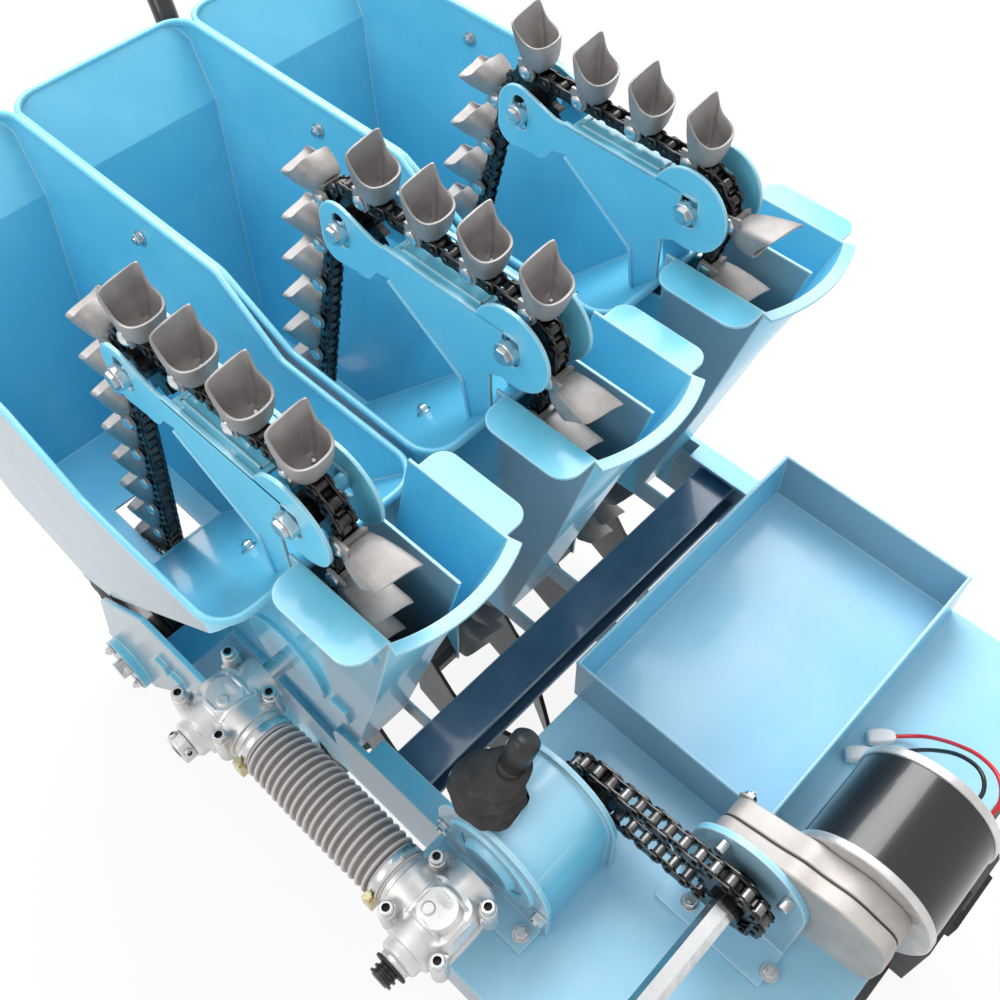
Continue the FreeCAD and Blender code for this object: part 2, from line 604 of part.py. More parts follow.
def lever_seat(z0, z1):
    """The rounded plate's outline, from z0 up to z1."""
    w, d = LEVER_PLATE
    face = Part.Face(round_rect(LEVER_X - w, LEVER_X + w, LEVER_PLATE_Y - d, LEVER_PLATE_Y + d, z0, w - 1))
    return face.extrude(V(0, 0, z1 - z0))


def lever_plate():
    return lever_seat(BOOT_Z, BOOT_Z + 3)


def lever_boot():
    """Bellows round the lever's foot."""
    cone = Part.makeCone(25, 13, BOOT_H, V(LEVER_X, LEVER_Y, BOOT_Z - 4), LEVER_DIR)
    return cone.common(box(-400, 400, -600, 0, BOOT_Z + 3, 600))


def lever():
    p = V(LEVER_X, LEVER_Y, BOOT_Z - 4) + LEVER_DIR * BOOT_H
    return fuse([Part.makeCylinder(5, 14, p, LEVER_DIR),
                 Part.makeCylinder(9, 16, p + LEVER_DIR * 14, LEVER_DIR)])


SIDE_LOOP = [(HOUSE_OUT[0], HOUSE_OUT[1], 22.5), (OUT[0], OUT[1], 24.5)]


def side_chain():
    x = SIDE_CHAIN_X
    return belt(x - 8, x + 8, [SIDE_LOOP[0], SIDE_LOOP[1]], CHAIN_H / 2)


def side_sprocket(i, x0, x1):
    x = SIDE_CHAIN_X
    y, z, r = SIDE_LOOP[i]
    return fuse([rod_x(x - 3.4, x + 3.4, (y, z), r - CHAIN_H / 2 - 0.4),
                 rod_x(x - 12, x + 12, (y, z), 13), rod_x(x0, x1, (y, z), 7.5)])


def hex_shaft():
    y, z = OUT
    r = 9.0
    pts = [(y + r * math.cos(math.radians(a)), z + r * math.sin(math.radians(a)))
           for a in range(0, 360, 60)]
    return prism_x(-262, SIDE_CHAIN_X - 12, pts)


def motor_bracket():
    y, z = OUT
    x = -104.0
    t = 5.0
    r = BRACKET_R
    plate = fuse([rod_x(x, x + t, OUT, r), box(x, x + t, y - r, y + r, DECK_Z, z)])
    plate = plate.cut(rod_x(x - 1, x + t + 1, OUT, 8.2))
    foot = box(x - 30, x, y - r, y + r, DECK_Z, DECK_Z + 4)
    return fuse([plate, foot])


def reducer():
    y, z = OUT
    my, mz = MOTOR
    x1 = MOTOR_X0
    x0 = -99.0
    a = rod_x(x0, x1, OUT, 40)
    b = rod_x(x0 + 8, x1, MOTOR, 38)
    c = box(x0 + 4, x1, my, y, z - 34, z + 34)
    return fuse([a, b, c])


def motor():
    x0 = MOTOR_X0
    x1 = x0 + MOTOR_L
    body = rod_x(x0 + 6, x1 - 6, MOTOR, MOTOR_R)
    caps = [rod_x(x0, x0 + 6, MOTOR, MOTOR_R + 1.5), rod_x(x1 - 6, x1, MOTOR, MOTOR_R + 1.5)]
    return fuse([body] + caps)


def motor_foot():
    """Saddle under the motor."""
    y, z = MOTOR
    block = box(MOTOR_X0 + 8, MOTOR_X0 + 62, y - 30, DECK_FRONT - 16, DECK_Z, z - 20)
    return block.cut(rod_x(MOTOR_X0, MOTOR_X0 + 90, MOTOR, MOTOR_R))


PLUG = (22.0, 12.0, 11.0)


def arc_tube(points, r, bend):
    """A round tube through points with rounded corners."""
    pts = [V(*p) for p in points]
    edges = []
    last = pts[0]
    for i in range(1, len(pts) - 1):
        a, b, c = pts[i - 1], pts[i], pts[i + 1]
        u, w = (a - b).normalize(), (c - b).normalize()
        half = u.getAngle(w) / 2
        d = min(bend / math.tan(half), 0.45 * min((a - b).Length, (c - b).Length))
        p, q = b + u * d, b + w * d
        m = (u + w).normalize()
        rr = d * math.tan(half)
        mid = b + m * (rr / math.sin(half) - rr)
        if (p - last).Length > 1e-6:
            edges.append(Part.makeLine(last, p))
        edges.append(Part.Arc(p, mid, q).toShape())
        last = q
    edges.append(Part.makeLine(last, pts[-1]))
    path = Part.Wire(edges)
    prof = Part.Wire(Part.makeCircle(r, pts[0], pts[1] - pts[0]))
    return path.makePipeShell([prof], True, False)


WIRE_R = 1.6
WIRE_END = MOTOR_X0 + MOTOR_L
ROUTES = {
    "red": [(WIRE_END, -548, 422), (32, -548, 422), (46, -555, 436), (61, -544, 446), (74, -525, 432),
            (85, -508, 405), (94, -496, 380), (99, -487, 362), (95, -478, 354.5), (87.5, -470.5, 354.5)],
    "black": [(WIRE_END, -536, 432), (31, -536, 432), (44, -542, 442), (57, -532, 446), (66, -514, 430),
              (72, -499, 402), (76, -489, 378), (76, -481, 362), (71, -473, 354.5), (64, -466, 354.5)],
}


def wire(name):
    """Motor lead, from the motor's end over to its plug on the deck."""
    tube = arc_tube(ROUTES[name], WIRE_R, 1e6)
    print(name, "length", round(tube.Volume / (math.pi * WIRE_R ** 2), 1))
    return tube


def plug(name):
    """Plug housing, lying on the deck at the end of a lead."""
    x, y, z = ROUTES[name][-1]
    px, py, pz = ROUTES[name][-2]
    d = V(x - px, y - py, 0).normalize()
    body = Part.makeBox(PLUG[0], PLUG[1], PLUG[2], V(0, -PLUG[1] / 2, 0))
    body.rotate(V(0, 0, 0), AZ, math.degrees(math.atan2(d.y, d.x)))
    body.translate(V(x, y, DECK_Z))
    return body


# ---------------------------------------------------------------- running gear
def tyre(x, w, yz):
    """Tyre with plain cross lugs."""
    y, z = yz
    a = math.pi / LUGS
    pts = []
    for i in range(LUGS):
        for k, r in ((0.0, WHEEL_R), (0.8, WHEEL_R), (1.0, WHEEL_R - LUG_H), (1.8, WHEEL_R - LUG_H)):
            t = -math.pi / 2 + (2 * i + k - 0.4) * a
            pts.append((y + r * math.cos(t), z + r * math.sin(t)))
    bore = [(y + RIM_R * math.cos(a * k), z + RIM_R * math.sin(a * k)) for k in range(2 * LUGS)]
    return prism_x(x - w / 2, x + w / 2, pts).cut(prism_x(x - w, x + w, bore))


def rim(x, w, yz, bore, hub_x):
    """Rim, disc and hub; the rim's outside follows the tyre's seat."""
    y, z = yz
    h = w / 2 - 3
    a = math.pi / LUGS
    seat = [(y + RIM_R * math.cos(a * k), z + RIM_R * math.sin(a * k)) for k in range(2 * LUGS)]
    band = prism_x(x - h, x + h, seat).cut(rod_x(x - w, x + w, yz, RIM_R - 6))
    disc = rod_x(x - 3, x + 3, yz, RIM_R - 5)
    hub = rod_x(hub_x[0], hub_x[1], yz, 24)
    return fuse([band, disc, hub]).cut(rod_x(x - 90, x + 90, yz, bore))


def front_axle():
    x = FRONT_WHEEL_X + FRONT_W / 2 + 6
    return rod_x(MID_X - x, MID_X + x, (FRONT_AXLE_Y, AXLE_Z), AXLE_R)


def rear_stub(side):
    """Fixed stub that a rear wheel turns on, held in the outer plate."""
    x0 = MID_X + side * (REAR_WHEEL_X - REAR_W / 2 + 2)
    x1 = MID_X + side * (OUTER_X + 18)
    xi = MID_X + side * (OUTER_X - PLATE_T)
    collar = rod_x(xi, xi - side * COLLAR, REAR_AXLE, 16)
    return fuse([rod_x(x0, x1, REAR_AXLE, AXLE_R), collar])


GRIP_R = 11.0


def handlebar(s):
    """Bar on a saddle under the rear tube, back under the hoppers, up behind them and out
    to the grip."""
    x, z0 = MID_X + s * HANDLE_X, CROSS_Z[0] - GRIP_R - 4
    pts = [(x, CROSS_Y[0], z0), (x, 330, z0), (x, HOP_REAR + 28, 420), (x, HOP_REAR + 28, 580),
           (x + s * 70, 600, 790), (x + s * 104, 780, 868), (x + s * 108, 940, 880)]
    saddle = box(x - 9, x + 9, CROSS_Y[0], CROSS_Y[1], z0, CROSS_Z[0])
    return fuse([arc_tube(pts, GRIP_R, 60), saddle])


def handle_brace():
    y = HOP_REAR + 28
    bar = rod_x(MID_X - HANDLE_X, MID_X + HANDLE_X, (y, 500), 8)
    for s in (-1, 1):
        bar = bar.cut(rod((MID_X + s * HANDLE_X, y, 450), (MID_X + s * HANDLE_X, y, 550), GRIP_R))
    return bar


def parts():
    """Every node's name and shape."""
    out = {"cross_beam": cross_beam(), "rear_tube": rear_tube(), "axle_hangers": front_hangers(),
           "deck": deck(), "front_bar": front_bar(), "battery_tray": tray()}
    for side, n in ((-1, "left"), (1, "right")):
        out["inner_plate_" + n] = inner_plate(side)
        out["outer_plate_" + n] = outer_plate(side)
    for i, r in enumerate(ROWS):
        n = "_" + str(i + 1)
        out["hopper" + n] = hopper(r)
        out["cup_chain" + n] = cup_chain(r, CUP_START[i])
        out["arm" + n] = arm(r)
        out["chute" + n] = chute(r)
        out["opener" + n] = opener(r)
    out["sprockets"] = Part.makeCompound([w for r in ROWS for w in sprockets(r)])
    out["drive_shaft"] = drive_shaft()
    out["bearing_plates"] = bearing_plates()
    out["gearbox_rear"] = gearbox(DRIVE[0], -1, 12, 10)
    out["gearbox_front"] = gearbox(HOUSE[0], 1, 9, 16)
    out["hose"] = hose()
    out["clutch_housing"] = clutch_housing()
    out["lever_plate"] = lever_plate()
    out["lever_boot"] = lever_boot()
    out["lever"] = lever()
    out["side_chain"] = side_chain()
    out["side_sprockets"] = Part.makeCompound([
        side_sprocket(0, HOUSE_X[1] + 4, SIDE_CHAIN_X + 12),
        side_sprocket(1, SIDE_CHAIN_X - 12, MOTOR_X0 - 31)])
    out["hex_shaft"] = hex_shaft()
    out["motor_bracket"] = motor_bracket()
    out["reducer"] = reducer()
    out["motor"] = motor()
    out["motor_foot"] = motor_foot()
    for n in ROUTES:
        out["wire_" + n] = wire(n)
        out["plug_" + n] = plug(n)
    f = (FRONT_AXLE_Y, AXLE_Z)
    w = FRONT_WHEEL_X
    out["front_axle"] = front_axle()
    out["front_tyres"] = Part.makeCompound([tyre(MID_X + s * w, FRONT_W, f) for s in (-1, 1)])
    rims = []
    for s in (-1, 1):
        x = MID_X + s * w
        rims.append(rim(x, FRONT_W, f, AXLE_R, (x - FRONT_W / 2, x + FRONT_W / 2)))
    out["front_rims"] = Part.makeCompound(rims)
    for s, n in ((-1, "left"), (1, "right")):
        x = MID_X + s * REAR_WHEEL_X
        hub = sorted((x - s * REAR_W / 2, MID_X + s * (OUTER_X - PLATE_T - COLLAR - 0.5)))
        out["rear_tyre_" + n] = tyre(x, REAR_W, REAR_AXLE)
        out["rear_rim_" + n] = rim(x, REAR_W, REAR_AXLE, AXLE_R + RUN, hub)
        out["handlebar_" + n] = handlebar(s)
    out["rear_stubs"] = Part.makeCompound([rear_stub(s) for s in (-1, 1)])
    out["handle_brace"] = handle_brace()
    return out


def main():
    """Writes the nodes in a frame whose origin is on the ground under the machine's middle."""
    os.makedirs("parts", exist_ok=True)
    shapes = parts()
    whole = FreeCAD.BoundBox()
    for name, shape in shapes.items():
        if not name.startswith(("wire_", "plug_")):
            whole.add(shape.optimalBoundingBox(False))
    c = whole.Center
    print("origin", c.x, c.y, whole.ZMin)
    for name, shape in shapes.items():
        export(name, moved(shape, -c.x, -c.y, -whole.ZMin))


main()
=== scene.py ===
import bpy
import json
import math
from mathutils import Matrix, Vector, noise


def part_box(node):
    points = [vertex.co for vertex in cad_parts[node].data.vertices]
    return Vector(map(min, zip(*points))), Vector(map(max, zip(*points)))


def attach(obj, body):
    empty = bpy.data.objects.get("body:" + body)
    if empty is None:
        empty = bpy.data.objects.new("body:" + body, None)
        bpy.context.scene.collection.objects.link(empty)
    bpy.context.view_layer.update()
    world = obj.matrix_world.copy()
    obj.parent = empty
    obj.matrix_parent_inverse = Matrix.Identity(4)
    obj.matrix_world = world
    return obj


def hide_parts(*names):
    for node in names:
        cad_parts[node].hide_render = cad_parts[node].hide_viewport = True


# Three-row walk-behind garlic planter.  The sizes below are millimetres from the middle row's
# chain plane, the upper rear sprocket and the ground, as in the part's source.

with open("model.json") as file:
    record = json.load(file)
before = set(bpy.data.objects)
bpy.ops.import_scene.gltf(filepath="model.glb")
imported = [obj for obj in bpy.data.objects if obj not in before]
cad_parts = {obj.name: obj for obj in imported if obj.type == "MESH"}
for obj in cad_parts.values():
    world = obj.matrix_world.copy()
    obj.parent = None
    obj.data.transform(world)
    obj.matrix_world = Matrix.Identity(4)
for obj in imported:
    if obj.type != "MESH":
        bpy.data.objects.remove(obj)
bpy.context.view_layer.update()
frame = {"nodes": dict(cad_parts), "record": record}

ROWS = (-180.0, 0.0, 180.0)
MID_X = 8.0

# chains: (inner face, outer face, end radius) of a link plate, pins and rollers
CHAIN_P = 12.7
INNER_LINK, OUTER_LINK = (3.9, 5.3, 5.9), (5.6, 7.0, 5.5)
PIN_R, PIN_END, ROLLER_R = 2.3, 8.3, 4.2
# one tooth: (share of a tooth's turn, height over the pitch circle)
TOOTH = ((-0.22, -3.0), (0.0, -4.4), (0.22, -3.0), (0.38, 1.6), (0.5, 3.2), (0.62, 1.6))

# elevators: how far each row's cups have run on, and the pitches from cup to cup
CUP_START = (0.0, 11.6, 45.5)
CUP_STEP = 4
SPROCKET_R, SPROCKET_TEETH, SPROCKET_HUB = 24.5, 12, 11
TOP, FRONT = (0.0, 650.0), (-162.0, 650.0)
LOW_F, LOW_R = (-34.0, 165.0), (123.0, 178.0)
LOOP = [wheel + (SPROCKET_R,) for wheel in (TOP, FRONT, LOW_F, LOW_R)]

# hoppers: (left, right) from the row and (front, rear), with the lower front of the rim
HOP_X, HOP_Y = (-79.0, 99.0), (-145.0, 357.0)
HOP_TOP, HOP_LOW, HOP_CORNER = 608.0, 571.0, 24.0
HOP_LEAN_LEFT, HOP_LEAN_RIGHT = 0.0174, 0.15
HOP_RISE_RIGHT = ((92.4, 0, 571), (92.8, 5, 572), (97.6, 69, 607), (98, 76, 608))
HOP_RISE_LEFT = ((-78, 76, 608), (-78, 69, 607), (-77.4, 5, 572), (-77.4, 0, 571))

# arms: side plates across the row, and the flange that joins them on top
ARM_SIDES, ARM_TOP, ARM_FLANGE_Y = ((-19, -15.5), (19.5, 23)), 662.0, (-168, -44)
ARM_BORDER = ((-11.5, -9.5, -130, -54), (13.5, 15.5, -130, -54), (-11.5, 15.5, -130, -128),
              (-11.5, 15.5, -56, -54))
ARM_FOLD = ((-47, 635), (-115, 587), (-120, 551))

# cross drive, side chain and clutch
DRIVE, HOUSE = (-99.0, 405.0), (-322.0, 405.0)
GEAR_X, GEAR_S = -259.0, 62.0
OUT, HOUSE_OUT = (-457.0, 421.0), (-341.0, 412.0)
SIDE_LOOP = [HOUSE_OUT + (22.5,), OUT + (24.5,)]
SIDE_TEETH, SIDE_HUB = (11, 12), 13
SIDE_CHAIN_X = -120.0
HOUSE_FACE_X = -209.0
HOUSE_BOLTS = ((-46, -16), (46, -16), (0, -46))
HOUSE_FEET = ((-220, -360), (-220, -284), (-133, -346), (-133, -290))
LEVER_SCREWS = ((-200, -285), (-200, -309), (-180, -321))
LEVER_X, LEVER_Y, BOOT_Z = -190.0, -304.0, 454.0
LEVER_LEAN = (0.50, -0.05, 0.86)

# motor and reducer
MOTOR = (-517.0, 436.0)
MOTOR_X0, MOTOR_L, MOTOR_R = -68.0, 86.0, 50.5
REDUCER_X0, SEAM_X0, SEAM_X1 = -99.0, -86.0, -85.0
BRACKET_FEET = ((-121, -503), (-121, -433))
BRACKET_STUD_R, BRACKET_STUDS = 38, (-0.5, 0.95, 2.45)
LUG_RISE, LUG_SPREAD = 6.5, 130
LUGS = [(OUT[0] + 30, OUT[1] + 20), (OUT[0] + 30, OUT[1] - 20), (OUT[0] - 26, OUT[1] + 32),
        (OUT[0] - 26, OUT[1] - 32), (MOTOR[0] - 30, MOTOR[1] + 28), (MOTOR[0] - 30, MOTOR[1] - 26)]
WIRE_R = 1.6

# hopper bolts from their row, and the two pads (y, z) on the left outer faces
FRONT_BOLT, WALL_BOLT = (1, -44, 473.2), (93.4, 168, 585)
PAD_X, PAD_HALF, PADS = (-205.0, -200.8), 9, ((-213, 568), (-157, 394))

# deck, tray and wheels
DECK_X0, DECK_TOP, DECK_FRONT, DECK_H = -270.0, 349.0, -556.0, 55.0
FOOT_TOP = DECK_TOP + 4
TRAY_X, TRAY_Y, TRAY_TOP = (-53.0, 219.0), (-442.0, -263.0), 401.5
REAR_AXLE = (141.0, 160.0)
PLATE_X = MID_X - 268.0
TYRE_R, TYRE_W, TYRE_SEAT, TYRE_RIBS, TYRE_X = 159.7, 26.0, 112.0, 48, 227.0

# the deck's low corner ties the millimetres to the frame
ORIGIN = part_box("deck")[0] - Vector((DECK_X0, DECK_FRONT, DECK_TOP - DECK_H)) / 1000


def place(p):
    return Vector(p) / 1000 + ORIGIN


# ------------------------------------------------------------------ finishes
class Field:
    """A value that varies over a surface; sums on it add Math nodes."""

    def __init__(self, finish, socket):
        self.finish, self.socket = finish, socket

    def _sum(self, operation, a, b):
        return self.finish.node("ShaderNodeMath", {"operation": operation}, {0: a, 1: b})

    def __add__(self, o): return self._sum("ADD", self, o)
    def __radd__(self, o): return self._sum("ADD", o, self)
    def __sub__(self, o): return self._sum("SUBTRACT", self, o)
    def __rsub__(self, o): return self._sum("SUBTRACT", o, self)
    def __mul__(self, o): return self._sum("MULTIPLY", self, o)
    def __rmul__(self, o): return self._sum("MULTIPLY", o, self)

    def clip(self):
        return self.finish.node("ShaderNodeClamp", {}, {"Value": self})


class Finish:
    """A material made of nodes."""

    def __init__(self, name, slot):
        self.material = bpy.data.materials.new(name)
        self.material.use_nodes = True
        self.tree = self.material.node_tree
        self.tree.nodes.clear()
        self.slot = slot
        self.place = self.node("ShaderNodeTexCoord", {}, {}, "Object")

    def node(self, kind, settings, sockets, out=0):
        n = self.tree.nodes.new(kind)
        for key, value in settings.items():
            setattr(n, key, value)
        for key, value in sockets.items():
            if isinstance(value, Field):
                self.tree.links.new(value.socket, n.inputs[key])
            else:
                n.inputs[key].default_value = value
        return Field(self, n.outputs[out])

    def noise(self, scale, detail=3.0, rough=0.55, stretch=None):
        """Soft noise of about scale waves to the metre."""
        at = self.place
        if stretch:
            at = self.node("ShaderNodeMapping", {}, {"Vector": at, "Scale": stretch})
        return self.node("ShaderNodeTexNoise", {}, {"Vector": at, "Scale": scale, "Detail": detail,
                                                    "Roughness": rough})

    def step(self, value, low, high):
        """0 below low, 1 above high."""
        return self.node("ShaderNodeMapRange", {"clamp": True},
                         {"Value": value, "From Min": low, "From Max": high})

    def mix(self, amount, a, b):
        """a where amount is 0, b where it is 1."""
        a = a if isinstance(a, Field) else tuple(a) + (1.0,)
        b = b if isinstance(b, Field) else tuple(b) + (1.0,)
        return self.node("ShaderNodeMix", {"data_type": "RGBA"}, {0: amount, 6: a, 7: b}, 2)

    def bump(self, height, depth, strength, normal=None):
        """Normals for a height; depth is in metres."""
        s = {"Height": height, "Distance": depth, "Strength": strength}
        if normal:
            s["Normal"] = normal
        return self.node("ShaderNodeBump", {}, s)

    def edges(self, radius):
        """Rounded normals, and how much an edge turns there."""
        soft = self.node("ShaderNodeBevel", {"samples": 4}, {"Radius": radius})
        true = self.node("ShaderNodeNewGeometry", {}, {}, "Normal")
        return soft, self.step(1 - self.dot(soft, true), 0.006, 0.14)

    def dot(self, a, b):
        return self.node("ShaderNodeVectorMath", {"operation": "DOT_PRODUCT"}, {0: a, 1: b}, "Value")

    def done(self, fixed, **varying):
        """Closes the material: fixed holds plain socket values, varying the looks by name."""
        names = {"color": "Base Color", "rough": "Roughness", "metal": "Metallic",
                 "coat": "Coat Weight", "normal": "Normal"}
        s = {names[k]: (tuple(v) + (1.0,) if k == "color" and not isinstance(v, Field) else v)
             for k, v in varying.items()}
        s.update(fixed)
        shade = self.node("ShaderNodeBsdfPrincipled", {}, s)
        out = self.tree.nodes.new("ShaderNodeOutputMaterial")
        self.tree.links.new(shade.socket, out.inputs["Surface"])
        return self


def blue_paint():
    """Gloss light blue powder coat with a fine orange peel.  Edges are painted pale as highlights, the
    deck's upward faces paler as painted reflection, and faces looking left and down greyer as painted shade."""
    f = Finish("blue_paint", "blue_paint")
    soft, edge = f.edges(0.0026)
    facing = f.node("ShaderNodeNewGeometry", {}, {}, "Normal")
    left, top = f.dot(facing, (-1, 0, -1)), f.dot(facing, (0, 0, 1))
    broad = f.noise(3.0, 3.0)
    tone = f.mix(f.step(broad, 0.3, 0.7), (0.120, 0.530, 0.750), (0.160, 0.590, 0.800))
    cloud = f.noise(14.0, 5.0, 0.65)
    tone = f.mix(f.step(cloud, 0.45, 0.8) * 0.35, tone, (0.32, 0.72, 0.88))
    ahead, across, up = (f.node("ShaderNodeSeparateXYZ", {}, {"Vector": f.place}, k) for k in "YXZ")
    # metres ahead of the middle, out to the left and above the ground where each painted highlight or shade
    # starts
    deck_from, duct_from, outer_from, rims_from = 0.40, 0.318, 0.234, 0.606
    # painted reflection: faces of the deck that look up are made paler, as the overhead light shows on them
    pale = f.step(-1 * ahead, deck_from, deck_from + 0.04) * f.step(top, 0.3, 0.95)
    tone = f.mix(pale * (0.50 + 0.30 * f.step(cloud, 0.25, 0.75)), tone, (0.44, 0.67, 0.84))
    # painted shade: faces of the ducts that look left and down, below the rims, are made greyer and darker
    low = f.step(-1 * up, -rims_from, 0.006 - rims_from)
    duct_shade = f.step(-1 * ahead, duct_from, duct_from + 0.007) * low
    tone = f.mix(f.step(left, 0.90, 0.98) * duct_shade * 0.75, tone, (0.27, 0.35, 0.41))
    scuff = f.step(f.noise(60.0, 6.0, 0.7, (1.0, 1.0, 0.35)), 0.62, 0.74) * f.step(broad, 0.5, 0.62)
    tone = f.mix(scuff * 0.35, tone, (0.42, 0.68, 0.80))
    # painted highlight: the rounded edges found by the bevel normals are made near white
    tone = f.mix(edge * 0.85, tone, (0.72, 0.95, 0.99))
    # painted shade: faces that look left on the outer left side are made dark grey-blue
    outer = f.step(-1 * across, outer_from, outer_from + 0.004)
    tone = f.mix(f.step(left, 0.96, 0.99) * outer * 0.95, tone, (0.115, 0.185, 0.235))
    peel = f.noise(420.0, 2.0)
    return f.done({"IOR": 1.5, "Coat Roughness": 0.10}, color=tone, rough=0.26 + 0.12 * f.noise(25.0),
                  coat=(0.45 - 0.2 * scuff - 0.25 * pale).clip(), normal=f.bump(peel, 0.00012, 0.4, soft))


def cast_grey():
    """Die-cast zinc alloy of the cups."""
    f = Finish("cup_alloy", "chain_steel")
    mottle = f.noise(45.0, 5.0, 0.6)
    pits = f.noise(500.0, 3.0)
    tone = f.mix(f.step(mottle, 0.35, 0.68), (0.250, 0.238, 0.232), (0.370, 0.352, 0.345))
    return f.done({"IOR": 1.45}, color=tone, metal=0.35, rough=0.42 + 0.14 * mottle,
                  normal=f.bump(pits, 0.00015, 0.5))


def cast_alloy():
    """Cast aluminium of the gearboxes and the reducer."""
    f = Finish("cast_alloy", "cast_alloy")
    soft, edge = f.edges(0.0012)
    cloud = f.noise(35.0, 5.0, 0.65)
    grain = f.noise(650.0, 3.0, 0.7)
    tone = f.mix(f.step(cloud, 0.3, 0.7), (0.58, 0.57, 0.565), (0.82, 0.81, 0.80))
    # painted highlight: the rounded edges are made paler
    tone = f.mix(edge * 0.5, tone, (0.94, 0.94, 0.93))
    return f.done({}, color=tone, metal=0.85, rough=0.30 + 0.22 * cloud,
                  normal=f.bump(grain + 2 * cloud, 0.0002, 0.5, soft))


def slate_paint():
    """Older, darker blue of the beam across the front."""
    f = Finish("slate_paint", "blue_paint")
    soft, edge = f.edges(0.0022)
    cloud = f.noise(18.0, 5.0, 0.65)
    tone = f.mix(f.step(cloud, 0.35, 0.75), (0.040, 0.105, 0.190), (0.085, 0.180, 0.280))
    # painted highlight: the rounded edges are made pale blue
    tone = f.mix(edge * 0.9, tone, (0.55, 0.80, 0.92))
    return f.done({"Coat Roughness": 0.08}, color=tone, rough=0.30 + 0.15 * cloud, coat=0.4 - 0.1 * cloud,
                  normal=f.bump(cloud, 0.0002, 0.3, soft))


def brown_cast():
    """Dull cast halves of the reducer."""
    f = Finish("brown_cast", "cast_alloy")
    soft, edge = f.edges(0.0012)
    cloud = f.noise(30.0, 5.0, 0.65)
    tone = f.mix(f.step(cloud, 0.3, 0.7), (0.340, 0.315, 0.300), (0.500, 0.470, 0.450))
    # painted highlight: the rounded edges are made paler
    tone = f.mix(edge * 0.5, tone, (0.74, 0.71, 0.69))
    return f.done({}, color=tone, metal=0.45, rough=0.42 + 0.2 * cloud,
                  normal=f.bump(f.noise(600.0, 3.0, 0.7) + 2 * cloud, 0.0002, 0.5, soft))


def black_steel():
    """Oiled black steel of the chains and their wheels."""
    f = Finish("chain_steel", "chain_steel")
    smear = f.noise(90.0, 4.0)
    tone = f.mix(f.step(smear, 0.4, 0.7), (0.030, 0.029, 0.029), (0.095, 0.091, 0.088))
    return f.done({}, color=tone, metal=0.85, rough=0.14 + 0.24 * smear, normal=f.bump(smear, 0.0002, 0.4))


def worn_steel():
    """Rollers of the side chain, rubbed bright."""
    f = Finish("worn_steel", "chain_steel")
    n = f.noise(60.0, 4.0)
    return f.done({}, color=f.mix(f.step(n, 0.35, 0.7), (0.30, 0.30, 0.30), (0.13, 0.125, 0.12)), metal=0.9,
                  rough=0.24 + 0.2 * n)


def zinc():
    """Zinc plate of bolts and screws, with dull stains."""
    f = Finish("zinc_steel", "zinc_steel")
    stain = f.noise(70.0, 4.0)
    tone = f.mix(f.step(stain, 0.4, 0.75), (0.70, 0.71, 0.72), (0.50, 0.50, 0.50))
    return f.done({}, color=tone, metal=1.0, rough=0.18 + 0.2 * stain, normal=f.bump(stain, 0.0001, 0.3))


def gasket():
    """Black of seals and the reducer's seam; inside screw sockets it is painted shade."""
    f = Finish("gasket", "black_rubber")
    n = f.noise(200.0)
    return f.done({}, color=f.mix(n, (0.010, 0.010, 0.011), (0.022, 0.022, 0.024)), rough=0.55 + 0.1 * n)


def rubber():
    """Dusty rubber of the boot."""
    f = Finish("black_rubber", "black_rubber")
    dust = f.noise(30.0, 5.0, 0.7)
    tone = f.mix(f.step(dust, 0.45, 0.75), (0.014, 0.013, 0.013), (0.045, 0.041, 0.038))
    return f.done({}, color=tone, rough=0.42 + 0.2 * dust, normal=f.bump(f.noise(380.0, 3.0), 0.0002, 0.6))


def black_plastic():
    """Moulded black plastic of the lever's grip."""
    f = Finish("black_plastic", "black_plastic")
    n = f.noise(260.0, 3.0)
    return f.done({}, color=f.mix(n, (0.010, 0.010, 0.011), (0.024, 0.024, 0.026)), rough=0.34 + 0.15 * n,
                  normal=f.bump(n, 0.0001, 0.5))


def black_paint():
    """Black gloss paint, its edges painted paler as highlights."""
    f = Finish("black_paint", "black_paint")
    soft, edge = f.edges(0.0014)
    dust = f.noise(22.0, 5.0, 0.7)
    tone = f.mix(f.step(dust, 0.5, 0.8), (0.010, 0.010, 0.011), (0.05, 0.048, 0.046))
    # painted highlight: the rounded edges are made grey
    tone = f.mix(edge * 0.35, tone, (0.16, 0.16, 0.165))
    return f.done({"Coat Roughness": 0.06}, color=tone, rough=0.26 + 0.2 * dust, coat=0.5 - 0.3 * dust,
                  normal=f.bump(dust, 0.0002, 0.4, soft))


def dark_steel():
    """Dull dark steel with dust, its edges painted paler as highlights."""
    f = Finish("dark_steel", "dark_steel")
    soft, edge = f.edges(0.0014)
    dust = f.noise(28.0, 5.0, 0.7)
    tone = f.mix(f.step(dust, 0.4, 0.8), (0.040, 0.042, 0.046), (0.09, 0.09, 0.09))
    # painted highlight: the rounded edges are made grey
    tone = f.mix(edge * 0.3, tone, (0.3, 0.3, 0.3))
    return f.done({}, color=tone, rough=0.38 + 0.2 * dust, normal=f.bump(dust, 0.0002, 0.4, soft))


def motor_paint():
    """Gloss black baked enamel."""
    f = Finish("motor_paint", "motor_paint")
    n = f.noise(12.0, 4.0)
    return f.done({"Coat Roughness": 0.04}, color=f.mix(n, (0.006, 0.006, 0.008), (0.014, 0.014, 0.017)),
                  rough=0.20 + 0.12 * n, coat=0.45 - 0.2 * n)


